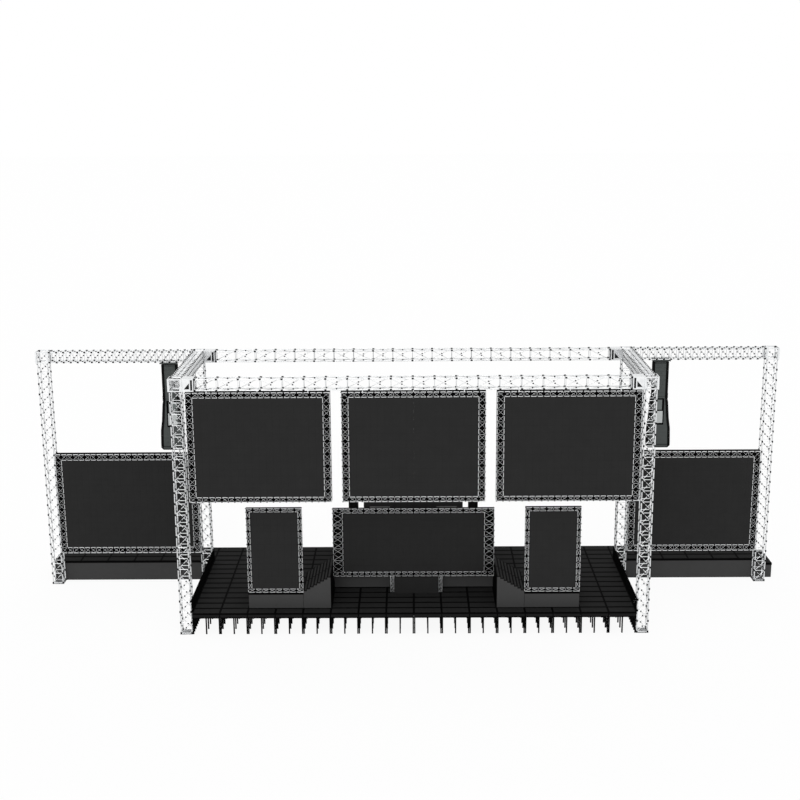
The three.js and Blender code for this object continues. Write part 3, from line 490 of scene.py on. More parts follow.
def splice_bolt(start, end):
    """A bolt across a slot, with a hexagon head at one end and a nut at the other."""
    head = (end - start).normalized() * SPLICE_HEAD_RADIUS
    rod = between(pattern_bar(SPLICE_BOLT_RADIUS, sides=8), start, end)
    hexagon = pattern_bar(SPLICE_HEAD_RADIUS, sides=6)
    return join([rod, between(hexagon, start, start + head), between(hexagon, end - head, end)])


for place in ("front", "rear", "outer"):
    for side, hand in (("left", 1), ("right", -1)):
        node = f"sleeve_block_{place}_{side}"
        give_material(frame["nodes"][node], mill_aluminium)
        if place == "outer":
            continue
        low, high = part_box(node)
        far = (high.x if hand > 0 else low.x) - hand * STUB_SLOT_FROM_END
        near = far - hand * STUB_SLOT
        let_in = hand * SPLICE_BOLT_LET_IN
        middle_y = (low.y + high.y) / 2
        first_z = (low.z + high.z - (SPLICE_BOLTS - 1) * SPLICE_BOLT_STEP) / 2
        parts = []
        for face in (-1, 1):
            y = middle_y + face * (STUB_HALF - STUB_WALL - SPLICE_THICKNESS / 2)
            x = far + hand * SPLICE_PAST_SLOT - hand * SPLICE_REACH / 2
            parts.append(block((x, y, (low.z + high.z) / 2),
                               (SPLICE_REACH, SPLICE_THICKNESS, SPLICE_HEIGHT), SPLICE_BEVEL))
            bolt_y = middle_y + face * (STUB_HALF - STUB_WALL / 2)
            bolt = splice_bolt(Vector((near - let_in, bolt_y, first_z)),
                               Vector((far + let_in, bolt_y, first_z)))
            parts.append(repeat(bolt, SPLICE_BOLTS, (0, 0, SPLICE_BOLT_STEP)))
        finish_piece(join(parts), f"{node}_splice", node, black_clamp)

# Screen frames
# Ladder trusses round each LED wall: an outer and an inner loop of tube laced with slanted
# bars, in front of black sheet that closes the frame to the back.
FRAME_DEPTH = 0.55
SMALL_FRAME_DEPTH = 0.3
LOOP_RADIUS = 0.028
SMALL_LOOP_RADIUS = 0.018
CORNER_EDGE_PART = 10
LACE_RADIUS = 0.011
THIN_LACE_RADIUS = 0.008
LACE_PITCH = 0.47
LACE_COLLAR_RISE = 0.006
LACE_COLLAR_HALF = 0.05
TIE_REACH = 1.4
BACKING_FROM_FRONT = 0.1
TRAY_IN = 0.004
TRAY_INSET = 0.2
SHEET_THICKNESS = 0.006
REAR_TUBE = 0.05
REAR_TUBE_BEVEL = 0.004
HANGER_RISE = 0.08
HANGER_LAP = 0.0003
HANGER_SHARES = (-0.35, 0, 0.35)
HANGER_WIDTH = 0.06
HANGER_BEVEL = 0.006
CENTRE_LEG_PLACES = (-1.4798, 2.1202)
CENTRE_LEG_WIDTH = 0.3
CENTRE_LEG_BAY = 0.3
CENTRE_FRAME_FOOT = 2.86
SHEET_BLACK = "#040404"
SHEET_WORN = "#090909"
SHEET_CLOUD_MM = 350
SHEET_GRAIN_MM = 6

# Black powder coat on sheet and steel: deep and satin, a little orange-peel, dusty in places.
black_powder, tree = new_tree("black_powder_coat")
dust = texture(tree, SHEET_CLOUD_MM, Detail=5.0)
peel = texture(tree, SHEET_GRAIN_MM, Detail=1.0)
shade(tree, SHEET_BLACK, SHEET_WORN, dust, {"Specular IOR Level": 0.01},
      Roughness=spread(tree, dust, low=0.6, high=0.8),
      Normal=bumps(tree, peel, strength=0.1, depth=0.0005))

loop_mesh = pattern_tube(LOOP_RADIUS, sides=10)
small_loop_mesh = pattern_tube(SMALL_LOOP_RADIUS, sides=10)
lace_mesh = pattern_bar(LACE_RADIUS, sides=6)
thin_lace_mesh = pattern_bar(THIN_LACE_RADIUS, sides=6)
lace_collar_mesh = pattern_collar(LOOP_RADIUS + LACE_COLLAR_RISE, LACE_COLLAR_HALF, sides=8)


def laced_member(start, end, to_inner, from_front):
    """One side of a frame: slanted bars from the outer loop at start to the inner and back, thin
    ones behind them, and a short tie that reaches on towards the sheet."""
    way = end - start
    bays = max(1, round(way.length / (2 * LACE_PITCH)))
    step = way / bays
    half = step / 2
    back = Y * from_front
    outer, inner = start, start + to_inner
    parts = [
        between(lace_mesh, outer, inner),
        between(lace_mesh, outer, inner + half),
        between(lace_mesh, inner + half, outer + step),
        between(thin_lace_mesh, inner + back, outer + half + back),
        between(thin_lace_mesh, outer + half + back, inner + step + back),
        between(thin_lace_mesh, outer + half, outer + half + back * TIE_REACH),
    ]
    places = (outer, outer + half, inner, inner + half)
    turned = turn_along(way)
    knots = [copy_at(lace_collar_mesh, Matrix.Translation(p) @ turned) for p in places]
    return repeat(join(parts), bays, step), repeat(join(knots), bays, step)


def rectangle_points(x0, x1, z0, z1, y):
    """The four corners of an upright rectangle."""
    return [Vector((x0, y, z0)), Vector((x1, y, z0)), Vector((x1, y, z1)), Vector((x0, y, z1))]


def tube_loop(points, mesh):
    """A loop of tube through four corners, each with a small welded corner block."""
    parts = [between(mesh, points[i], points[(i + 1) % 4]) for i in range(4)]
    size = 2 * max(v.co.x for v in mesh.vertices)
    parts += [block(p, (size, size, size), size / CORNER_EDGE_PART) for p in points]
    return parts


def backing_tray(low, high, inner_low, inner_high):
    """The black sheet tray: a ring behind the lacing, and a wall round the edge to the back."""
    near = low.y + BACKING_FROM_FRONT
    centre = ((low.x + high.x) / 2, (near + high.y) / 2, (low.z + high.z) / 2)
    tray = block(centre, (high.x - low.x, high.y - near, high.z - low.z))
    bpy.ops.object.mode_set(mode="EDIT")
    select_facing(tray, -Y)
    bpy.ops.mesh.inset(thickness=TRAY_INSET)
    middle = Vector(((inner_low.x + inner_high.x) / 2, near, (inner_low.z + inner_high.z) / 2))
    inner_size = inner_high - inner_low
    wide = inner_size.x / (high.x - low.x - 2 * TRAY_INSET)
    tall = inner_size.z / (high.z - low.z - 2 * TRAY_INSET)
    bpy.ops.transform.resize(value=(wide, 1, tall), center_override=middle)
    bpy.ops.transform.translate(value=(middle.x - centre[0], 0, middle.z - centre[2]))
    bpy.ops.mesh.delete(type="FACE")
    select_facing(tray, Y)
    bpy.ops.mesh.delete(type="FACE")
    bpy.ops.object.mode_set(mode="OBJECT")
    skin = tray.modifiers.new("sheet", "SOLIDIFY")
    skin.thickness = SHEET_THICKNESS
    skin.offset = -1
    select_only(tray)
    bpy.ops.object.modifier_apply(modifier=skin.name)
    return tray


def screen_frame(depth, low, inner_low, inner_high, high):
    """The tubes, the collars and the backing of one frame, between its outer and inner corners."""
    mesh = small_loop_mesh if depth < FRAME_DEPTH else loop_mesh
    r = SMALL_LOOP_RADIUS if depth < FRAME_DEPTH else LOOP_RADIUS
    y = low.y + r
    outer = rectangle_points(low.x + r, high.x - r, low.z + r, high.z - r, y)
    inner = rectangle_points(inner_low.x - r, inner_high.x + r,
                             inner_low.z - r, inner_high.z + r, y)
    tubes = tube_loop(outer, mesh) + tube_loop(inner, mesh)
    collars = []
    runs = [(Z, 0, 1, inner[0].z - outer[0].z), (-Z, 3, 2, outer[3].z - inner[3].z),
            (X, 0, 3, inner[0].x - outer[0].x), (-X, 1, 2, outer[1].x - inner[1].x)]
    for side, a, b, gap in runs:
        start, end = outer[a], outer[b]
        if side in (X, -X):
            start, end = Vector((start.x, y, inner[a].z)), Vector((end.x, y, inner[b].z))
        lacing, knots = laced_member(start, end, side * gap, BACKING_FROM_FRONT - 2 * r)
        tubes.append(lacing)
        collars.append(knots)
    tray_low = low + Vector((TRAY_IN, 0, TRAY_IN))
    tray_high = Vector((high.x - TRAY_IN, low.y + depth, high.z - TRAY_IN))
    parts = [backing_tray(tray_low, tray_high, inner_low, inner_high)]
    t = REAR_TUBE
    rear_y = low.y + depth - t / 2
    for x0, x1, z0, z1 in ((low.x, high.x, low.z, low.z + t), (low.x, high.x, high.z - t, high.z),
                           (low.x, low.x + t, low.z + t, high.z - t),
                           (high.x - t, high.x, low.z + t, high.z - t)):
        parts.append(block(((x0 + x1) / 2, rear_y, (z0 + z1) / 2), (x1 - x0, t, z1 - z0),
                           REAR_TUBE_BEVEL))
    return join(tubes), join(collars), join(parts)


def hangers(low, high):
    """The bars on a hung frame's head that reach back under the beam's chords."""
    size = (HANGER_WIDTH, BEAM_WIDTH, HANGER_RISE + COLLAR_RADIUS - CHORD_RADIUS)
    y, z = low.y + BEAM_WIDTH / 2, high.z + size[2] / 2
    places = [(low.x + high.x) / 2 + part * (high.x - low.x) for part in HANGER_SHARES]
    return [block((x, y, z), size, HANGER_BEVEL) for x in places]


def centre_leg(x, y, ground, top, depth):
    """A laced leg of four tubes under the middle frame, centred on x, with its front at y."""
    rise = top - ground
    bays = max(1, round(rise / CENTRE_LEG_BAY))
    half = CENTRE_LEG_WIDTH / 2 - LOOP_RADIUS
    near, far = y + LOOP_RADIUS, y + depth - LOOP_RADIUS
    posts = [Vector((x - half, near, ground)), Vector((x + half, near, ground)),
             Vector((x + half, far, ground)), Vector((x - half, far, ground))]
    step = Z * (rise / bays)
    lift = Z * LACE_RADIUS
    tubes, bay = [], []
    for i in range(4):
        start, end = posts[i], posts[(i + 1) % 4]
        tubes.append(between(loop_mesh, start, start + Z * rise))
        bay.append(between(lace_mesh, start + lift, end + lift))
        bay.append(between(lace_mesh, start, end + step))
    return [*tubes, repeat(join(bay), bays, step)]


frames = [(f"{kind}_frame_{side}", f"{kind}_screen_{side}", depth) for kind, sides, depth in (
    ("hung", ("left", "centre", "right"), FRAME_DEPTH), ("wing", ("left", "right"), FRAME_DEPTH),
    ("portrait", ("left", "right"), SMALL_FRAME_DEPTH)) for side in sides]
frames.append(("centre_frame", "centre_screen", SMALL_FRAME_DEPTH))
for node, screen, depth in frames:
    low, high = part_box(node)
    ground = low.z
    if node.startswith("hung"):
        high = Vector((high.x, high.y, high.z - HANGER_RISE + HANGER_LAP))
    if node == "centre_frame":
        low = Vector((low.x, low.y, CENTRE_FRAME_FOOT))
    tubes, collars, backing = screen_frame(depth, low, *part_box(screen), high)
    extra = hangers(low, high) if node.startswith("hung") else []
    if node == "centre_frame":
        for x in CENTRE_LEG_PLACES:
            extra += centre_leg(x, low.y, ground, low.z, depth)
    finish_piece(join([tubes, *extra]), f"{node}_lattice", node,
                 mill_aluminium, [node])
    finish_piece(collars, f"{node}_collars", node, black_clamp)
    finish_piece(backing, f"{node}_backing", node, black_powder)

# LED walls
# Eight walls of half-metre LED cabinets: a matt black mask with fine louvres in front, and a
# cast frame with a recessed back.
CABINET = 0.5
CABINET_GAP = 0.0004
CABINET_DEPTH_GAP = 0.002
CABINET_BEVEL = 0.004
CABINET_RECESS = 0.03
CABINET_RIM = 0.035
LED_BLACK = "#272727"
LED_LIGHT = "#2b2b2b"
LED_CLOUD_MM = 900
LED_ROW_MM = 8
WAVE_TURN = 6.283


def led_cabinet(low, wide, tall, deep):
    """One LED cabinet with its lower left front corner at low."""
    made = block((low.x + wide / 2, low.y + deep / 2, low.z + tall / 2),
                 (wide - CABINET_GAP, deep - CABINET_DEPTH_GAP, tall - CABINET_GAP),
                 CABINET_BEVEL)
    bpy.ops.object.mode_set(mode="EDIT")
    select_facing(made, Y)
    bpy.ops.mesh.inset(thickness=CABINET_RIM)
    extrude(0, -CABINET_RECESS, 0)
    bpy.ops.object.mode_set(mode="OBJECT")
    return made


# LED mask: matt black polycarbonate with rows of fine louvres, drawn coarser so that they show.
# A wave pattern's scale counts radians, so that a row takes a whole turn.
led_mask, tree = new_tree("led_mask")
dust = texture(tree, LED_CLOUD_MM, Detail=3.0)
louvres = texture(tree, LED_ROW_MM * WAVE_TURN, "ShaderNodeTexWave", 1, bands_direction="Z")
shade(tree, LED_BLACK, LED_LIGHT, dust, {"Roughness": 0.85, "Specular IOR Level": 0.02},
      Normal=bumps(tree, louvres, strength=0.15, depth=0.001))

for _, screen, _ in frames:
    low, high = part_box(screen)
    columns = max(1, round((high.x - low.x) / CABINET))
    rows = max(1, round((high.z - low.z) / CABINET))
    wide, tall = (high.x - low.x) / columns, (high.z - low.z) / rows
    row = repeat(led_cabinet(low, wide, tall, high.y - low.y), columns, (wide, 0, 0))
    finish_piece(repeat(row, rows, (0, 0, tall)), f"{screen}_cabinets", screen,
                 led_mask, [screen])

# Stage deck
# Decks of 2 m by 1 m: black coated plywood boards in black rails, so that the joints between
# decks read as double black lines. The front and the sides are closed by deep edge boards,
# whose ply is painted darker than the deck's as painted shade against the lamp's light on them.
DECK_LONG = 2.0
DECK_WIDE = 1.0
DECK_GAP = 0.0002
RIM = 0.07
LONG_RIM = 0.12
RIM_DROP = 0.002
RIM_DEPTH = 0.1
RIM_BEVEL = 0.003
BOARD_THICKNESS = 0.021
BOARD_BEVEL = 0.0015
BOARD_BED = 0.004
EDGE_THICKNESS = 0.035
EDGE_GAP = 0.07
EDGE_BEVEL = 0.004
LEDGER = 0.08
LEDGER_BEVEL = 0.005
PLY_BLACK = "#252525"
PLY_LIGHT = "#292929"
# Edge board colours are painted shade: the deck ply made darker to take off the lamp's light on the
# front edge.
EDGE_DARK_PAINTED_DARKER = "#191919"
EDGE_PALE_PAINTED_DARKER = "#1e1e1e"
PLY_CLOUD_MM = 1300
PLY_SCUFF_MM = 90
PLY_GRAIN_MM = 5


def film_ply(name, dark, light):
    """Film-faced plywood: near-black phenolic film, dull, scuffed, with a fine pressed grain."""
    made, tree = new_tree(name)
    patches = texture(tree, PLY_CLOUD_MM, Detail=2.0)
    scuffs = texture(tree, PLY_SCUFF_MM, Detail=6.0, Roughness=0.7)
    grain = texture(tree, PLY_GRAIN_MM, "ShaderNodeTexVoronoi")
    shade(tree, dark, light, patches, {"Specular IOR Level": 0.01},
          Roughness=spread(tree, scuffs, low=0.55, high=0.8),
          Normal=bumps(tree, grain, strength=0.12, depth=0.0006))
    return made


phenolic_ply = film_ply("phenolic_coated_plywood", PLY_BLACK, PLY_LIGHT)
# The edge ply is painted darker, as painted shade against the lamp's light on the edge boards.
edge_ply_darkened_for_light = film_ply("phenolic_edge_with_painted_shade", EDGE_DARK_PAINTED_DARKER, EDGE_PALE_PAINTED_DARKER)


def deck_field(low, high, long=DECK_LONG, deep=RIM_DEPTH):
    """A field of decks on top of a box: its boards, and its black rails. Under a board the rails
    are closed by as much as the board's thickness and its bed."""
    columns = max(1, round((high.x - low.x) / long))
    rows = max(1, round((high.y - low.y) / DECK_WIDE))
    step_x, step_y = (high.x - low.x) / columns, (high.y - low.y) / rows
    x, y = low.x + step_x / 2, low.y + step_y / 2
    board = block((x, y, high.z - BOARD_THICKNESS / 2),
                  (step_x - 2 * RIM, step_y - 2 * LONG_RIM, BOARD_THICKNESS), BOARD_BEVEL)
    rail = block((x, y, high.z - RIM_DROP - deep / 2),
                 (step_x - DECK_GAP, step_y - DECK_GAP, deep), RIM_BEVEL)
    bpy.ops.object.mode_set(mode="EDIT")
    select_facing(rail, Z)
    bpy.ops.mesh.inset(thickness=RIM)
    extrude(0, 0, -BOARD_THICKNESS)
    select_facing(rail, -Z)
    bpy.ops.mesh.inset(thickness=RIM)
    extrude(0, 0, deep - 2 * BOARD_THICKNESS - BOARD_BED)
    bpy.ops.object.mode_set(mode="OBJECT")
    rows_of = [repeat(piece, columns, (step_x, 0, 0)) for piece in (board, rail)]
    return [repeat(row, rows, (0, step_y, 0)) for row in rows_of]


deck_low, deck_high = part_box("main_deck")
boards, rails = deck_field(deck_low, deck_high)
drop = deck_high.z - RIM_DEPTH - RIM_DROP - deck_low.z
middle_z = deck_low.z + drop / 2
edges = []
for y in (deck_low.y + EDGE_THICKNESS / 2, deck_high.y - EDGE_THICKNESS / 2):
    board = block((deck_low.x + DECK_LONG / 2, y, middle_z),
                  (DECK_LONG - EDGE_GAP, EDGE_THICKNESS, drop), EDGE_BEVEL)
    edges.append(repeat(board, round((deck_high.x - deck_low.x) / DECK_LONG), (DECK_LONG, 0, 0)))
for x in (deck_low.x + EDGE_THICKNESS / 2, deck_high.x - EDGE_THICKNESS / 2):
    board = block((x, deck_low.y + DECK_LONG / 2, middle_z),
                  (EDGE_THICKNESS, DECK_LONG - EDGE_GAP, drop), EDGE_BEVEL)
    edges.append(repeat(board, round((deck_high.y - deck_low.y) / DECK_LONG), (0, DECK_LONG, 0)))
ledger = block(((deck_low.x + deck_high.x) / 2, deck_low.y + LEDGER / 2, deck_low.z - LEDGER / 2),
               (deck_high.x - deck_low.x, LEDGER, LEDGER), LEDGER_BEVEL)
finish_piece(boards, "main_deck_boards", "main_deck", phenolic_ply, ["main_deck"])
finish_piece(ledger, "main_deck_ledger", "main_deck", black_powder)
finish_piece(join(edges), "main_deck_edges", "main_deck", edge_ply_darkened_for_light)
finish_piece(rails, "main_deck_rails", "main_deck", black_powder)

# Deck legs
# Square steel legs in black powder coat, three along each two-metre deck, so that two stand
# side by side where decks meet. Each has a jack foot and a clamp head, under a bearer. The two
# sides have a closer row of legs.
LEG_SIZE = 0.095
LEG_FROM_END = 0.055
LEG_BEVEL = 0.004
FOOT_SIZE = 0.105
FOOT_THICKNESS = 0.008
HEAD_SIZE = 0.105
HEAD_HEIGHT = 0.1
HEAD_BEVEL = 0.006
ROW_PITCH = 1.0
SIDE_LEG_PITCH = 0.47
SIDE_LEG_IN = 0.004
BEARER_HEIGHT = 0.1
BEARER_SHORT = 0.01

row_boxes = [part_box(f"deck_leg_row_{i}") for i in (1, 2, 3, 4)]
row_ys = [(row_low.y + row_high.y) / 2 for row_low, row_high in row_boxes]
leg_top = row_boxes[0][1].z


def leg_row(y):
    """A row of legs along X at one place on Y, with the bearer on their heads."""
    left, right = deck_low.x, deck_high.x
    legs = []
    for x in (left + LEG_FROM_END, left + DECK_LONG / 2, left + DECK_LONG - LEG_FROM_END):
        legs.append(block((x, y, leg_top / 2), (LEG_SIZE, LEG_SIZE, leg_top - 2 * FOOT_THICKNESS),
                          LEG_BEVEL))
        legs.append(block((x, y, leg_top - HEAD_HEIGHT / 2), (HEAD_SIZE, HEAD_SIZE, HEAD_HEIGHT),
                          HEAD_BEVEL))
        legs.append(block((max(x, left + FOOT_SIZE / 2), y, FOOT_THICKNESS / 2),
                          (FOOT_SIZE, FOOT_SIZE, FOOT_THICKNESS)))
    legs = repeat(join(legs), round((right - left) / DECK_LONG), (DECK_LONG, 0, 0))
    bearer = block(((left + right) / 2, y, leg_top - BEARER_HEIGHT / 2),
                   (right - left - 2 * EDGE_THICKNESS - BEARER_SHORT, LEG_SIZE, BEARER_HEIGHT),
                   LEG_BEVEL)
    return join([legs, bearer])


for i, y in enumerate(row_ys, 1):
    finish_piece(leg_row(y), f"deck_legs_{i}", "main_deck", black_powder,
                 [f"deck_leg_row_{i}"])
between_rows = []
for y, next_y in zip(row_ys, row_ys[1:]):
    count = max(1, round((next_y - y) / ROW_PITCH))
    between_rows += [leg_row(y + (next_y - y) * k / count) for k in range(1, count)]
for x in (deck_low.x + LEG_SIZE / 2 + SIDE_LEG_IN, deck_high.x - LEG_SIZE / 2 - SIDE_LEG_IN):
    leg = block((x, row_ys[0] + SIDE_LEG_PITCH, (leg_top - HEAD_HEIGHT) / 2),
                (LEG_SIZE, LEG_SIZE, leg_top - HEAD_HEIGHT), LEG_BEVEL)
    count = int((row_ys[-1] - row_ys[0]) / SIDE_LEG_PITCH)
    between_rows.append(repeat(leg, count, (0, SIDE_LEG_PITCH, 0)))
finish_piece(join(between_rows), "deck_legs_between", "main_deck", black_powder)

# Guard rails
# Black steel guard rails along both sides, in 2 m lengths: two posts, a top and a bottom
# rail, and upright bars 11 cm apart.
RAIL_POST = 0.045
RAIL_TUBE_SHARE = 0.9
RAIL_BEVEL = 0.005
RAIL_END_GAP = 0.004
RAIL_BAR = 0.018
RAIL_BAR_BEVEL = 0.003
RAIL_PITCH = 0.11
RAIL_FOOT = 0.06

for side in ("left", "right"):
    node = f"guard_rail_{side}"
    low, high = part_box(node)
    x = (low.x + high.x) / 2
    sections = round((high.y - low.y) / DECK_LONG)
    span = (high.y - low.y) / sections
    parts = []
    for y in (low.y + RAIL_POST / 2 + RAIL_END_GAP, low.y + span - RAIL_POST / 2 - RAIL_END_GAP):
        parts.append(block((x, y, (low.z + high.z) / 2), (RAIL_POST, RAIL_POST, high.z - low.z),
                           RAIL_BEVEL))
    clear = span - 2 * RAIL_POST
    tube = RAIL_POST * RAIL_TUBE_SHARE
    for z in (low.z + RAIL_FOOT + RAIL_POST / 2, high.z - RAIL_POST / 2):
        parts.append(block((x, low.y + span / 2, z), (tube, clear, tube), RAIL_BEVEL))
    count = round(clear / RAIL_PITCH) - 1
    bar_step = clear / (count + 1)
    bar = block((x, low.y + RAIL_POST + bar_step, (low.z + RAIL_FOOT + high.z) / 2),
                (RAIL_BAR, RAIL_BAR, high.z - low.z - RAIL_FOOT - RAIL_POST), RAIL_BAR_BEVEL)
    parts.append(repeat(bar, count, (0, bar_step, 0)))
    rail = repeat(join(parts), sections, (0, span, 0))
    finish_piece(rail, f"{node}_bars", node, black_powder, [node])

# Risers, wing decks, back platform and end step
# Raised platforms of the same decks on closed sides of grey painted plywood, set back a
# little under the black deck edge.
FASCIA_GREY = "#3f3f3f"
FASCIA_LIGHT = "#424242"
FASCIA_CLOUD_MM = 800
FASCIA_ROLLER_MM = 7
FASCIA_THICKNESS = 0.02
FASCIA_BEVEL = 0.0015
FASCIA_JOINT = 0.003
FASCIA_SET_BACK = 0.02
FASCIA_LAP = 0.005
PLATFORM_EDGE = 0.16
END_STEP_LONG = 1.0

# Emulsion paint rolled on plywood: flat dark grey, faint lap marks, a fine roller stipple.
grey_paint, tree = new_tree("grey_painted_plywood")
laps = texture(tree, FASCIA_CLOUD_MM, Detail=3.0)
stipple = texture(tree, FASCIA_ROLLER_MM, Detail=2.0)
shade(tree, FASCIA_GREY, FASCIA_LIGHT, laps, {"Roughness": 0.9, "Specular IOR Level": 0.02},
      Normal=bumps(tree, stipple, strength=0.15, depth=0.0008))


def fascia(low, high):
    """Grey sheets up to two metres long, on the front and the two ends of a platform."""
    x0, x1 = low.x + FASCIA_SET_BACK, high.x - FASCIA_SET_BACK
    y0, y1 = low.y + FASCIA_SET_BACK, high.y - FASCIA_SET_BACK
    z0, z1 = low.z, high.z - PLATFORM_EDGE + FASCIA_LAP
    t = FASCIA_THICKNESS
    columns = max(1, round((x1 - x0) / DECK_LONG))
    rows = max(1, round((y1 - y0) / DECK_LONG))
    wide, deep = (x1 - x0) / columns, (y1 - y0 - t) / rows
    sheet = block((x0 + wide / 2, y0 + t / 2, (z0 + z1) / 2), (wide - FASCIA_JOINT, t, z1 - z0),
                  FASCIA_BEVEL)
    parts = [repeat(sheet, columns, (wide, 0, 0))]
    for x in (x0 + t / 2, x1 - t / 2):
        sheet = block((x, y0 + t + deep / 2, (z0 + z1) / 2), (t, deep - FASCIA_JOINT, z1 - z0),
                      FASCIA_BEVEL)
        parts.append(repeat(sheet, rows, (0, deep, 0)))
    return join(parts)


for node in ("riser_left", "riser_right", "centre_platform", "wing_deck_left", "wing_deck_right",
             "wing_end_step"):
    low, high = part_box(node)
    long = END_STEP_LONG if node == "wing_end_step" else DECK_LONG
    boards, rails = deck_field(low, high, long, PLATFORM_EDGE)
    finish_piece(fascia(low, high), f"{node}_sides", node, grey_paint, [node])
    finish_piece(boards, f"{node}_boards", node, phenolic_ply)
    finish_piece(rails, f"{node}_rails", node, black_powder)

# Stairs
# Two wide flights of eight steps, from the risers up towards the middle. Each step is two
# black-framed boards side by side, on closed sides of the same grey sheet and a black end.
STEPS = 8
STAIR_BASE = 1.2
STEP_RIM = 0.06
STEP_THICKNESS = 0.06
STEP_GAP = 0.002
STEP_BEVEL = 0.004
STEP_BOARD_RISE = 0.001
STAIR_SIDE = 0.02
# The tread colours are painted light: the deck's film ply made paler, to make up for the shade of
# the screens over the stairs.
TREAD_DARK_PAINTED_LIGHTER = "#2e2e2e"
TREAD_PALE_PAINTED_LIGHTER = "#333333"

tread_ply_lightened_for_shade = film_ply("phenolic_tread_with_painted_light", TREAD_DARK_PAINTED_LIGHTER, TREAD_PALE_PAINTED_LIGHTER)
for side, hand in (("left", 1), ("right", -1)):
    node = f"stairs_{side}"
    low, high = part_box(node)
    going = (high.x - low.x) / STEPS
    rise = (high.z - low.z - STAIR_BASE) / STEPS
    depth = (high.y - low.y) / 2
    outer_x, inner_x = (low.x, high.x) if hand > 0 else (high.x, low.x)
    trays, boards, walls = [], [], []
    for i in range(STEPS):
        x = outer_x + hand * going * (i + 0.5)
        top = low.z + STAIR_BASE + rise * (i + 1)
        under = top - STEP_THICKNESS
        for y0 in (low.y, low.y + depth):
            trays.append(block((x, y0 + depth / 2, under + STEP_THICKNESS / 2),
                               (going - STEP_GAP, depth - 2 * STEP_GAP, STEP_THICKNESS),
                               STEP_BEVEL))
            boards.append(block(
                (x, y0 + depth / 2, top - BOARD_THICKNESS / 2 + STEP_BOARD_RISE),
                (going - 2 * STEP_RIM, depth - 2 * STEP_RIM, BOARD_THICKNESS), BOARD_BEVEL))
        riser_low = top - rise - STEP_BOARD_RISE
        trays.append(block(
            (x - hand * (going / 2 - STAIR_SIDE / 2), low.y + depth, (riser_low + under) / 2),
            (STAIR_SIDE - 2 * STEP_GAP, 2 * (depth - STAIR_SIDE) - 2 * STEP_GAP,
             under - riser_low)))
        cut = STAIR_SIDE if i == STEPS - 1 else 0
        for y in (low.y + STAIR_SIDE / 2, high.y - STAIR_SIDE / 2):
            walls.append(block((x - hand * cut / 2, y, (low.z + under) / 2),
                               (going - cut, STAIR_SIDE, under - low.z)))
    trays.append(block((inner_x - hand * STAIR_SIDE / 2, low.y + depth, (low.z + under) / 2),
                       (STAIR_SIDE, 2 * depth - STEP_GAP, under - low.z - STEP_GAP)))
    finish_piece(join(walls), f"{node}_sides", node, grey_paint, [node])
    finish_piece(join(boards), f"{node}_boards", node, tread_ply_lightened_for_shade)
    finish_piece(join(trays), f"{node}_trays", node, black_powder)

# Plinth and set pieces
# Dark painted joinery: the plinth under the middle screen, the long back wall with its paler
# inset panels, and the two tall cases beside it. The back wall and its insets carry painted
# light: their paints are far paler than the real ones, to make up for the shade behind the screens.
SET_BLACK = "#161616"
SET_LIGHT = "#1a1a1a"
# The back wall's and the insets' colours are painted light: much paler than the real paints,
# standing in for light where the screens shade the wall.
WALL_DARK_PAINTED_LIGHTER = "#353535"
WALL_PALE_PAINTED_LIGHTER = "#3b3b3b"
INSET_DARK_PAINTED_LIGHTER = "#828282"
INSET_PALE_PAINTED_LIGHTER = "#888888"
PLINTH_BLACK = "#232323"
PLINTH_LIGHT = "#272727"
SET_CLOUD_MM = 500
SET_GRAIN_MM = 4
SET_INSET_SHARES = (0.47, 0.88)
SET_INSET_DROP = 0.32
SET_INSET_HEIGHT = 0.2
SET_INSET_BACK = 0.008
SET_INSET_THICKNESS = 0.021
SET_INSET_GAP = 0.008
SET_INSET_BEVEL = 0.004


def satin_paint(name, dark, light):
    """Satin paint sprayed on board, with a soft sheen and a faint grain."""
    made, tree = new_tree(name)
    clouds = texture(tree, SET_CLOUD_MM, Detail=4.0)
    grain = texture(tree, SET_GRAIN_MM, Detail=1.0)
    shade(tree, dark, light, clouds, {"Roughness": 0.75, "Specular IOR Level": 0.03},
          Normal=bumps(tree, grain, strength=0.1, depth=0.0004))
    return made


plinth_paint = satin_paint("dark_painted_board", PLINTH_BLACK, PLINTH_LIGHT)
set_paint = satin_paint("black_painted_board", SET_BLACK, SET_LIGHT)
# The wall and inset paints carry painted light, paler than the real paint against the shade behind
# the screens.
wall_paint_lightened_for_shade = satin_paint("wall_board_with_painted_light", WALL_DARK_PAINTED_LIGHTER, WALL_PALE_PAINTED_LIGHTER)
inset_paint_lightened_for_shade = satin_paint("inset_board_with_painted_light", INSET_DARK_PAINTED_LIGHTER, INSET_PALE_PAINTED_LIGHTER)

low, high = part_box("set_wall")
half = (high.x - low.x) / 2
wide = (SET_INSET_SHARES[1] - SET_INSET_SHARES[0]) * half
y = low.y + SET_INSET_BACK + SET_INSET_THICKNESS / 2
z = high.z - SET_INSET_DROP - SET_INSET_HEIGHT / 2
insets = []
for hand in (-1, 1):
    x = (low.x + high.x) / 2 + hand * half * sum(SET_INSET_SHARES) / 2
    size = (wide - SET_INSET_GAP, SET_INSET_THICKNESS, SET_INSET_HEIGHT - SET_INSET_GAP)
    insets.append(block((x, y, z), size, SET_INSET_BEVEL))
finish_piece(join(insets), "set_wall_insets", "set_wall", inset_paint_lightened_for_shade)

for node, material in (("screen_plinth", plinth_paint), ("set_wall", wall_paint_lightened_for_shade),
                       ("set_cabinet_left", set_paint), ("set_cabinet_right", set_paint)):
    give_material(frame["nodes"][node], material)

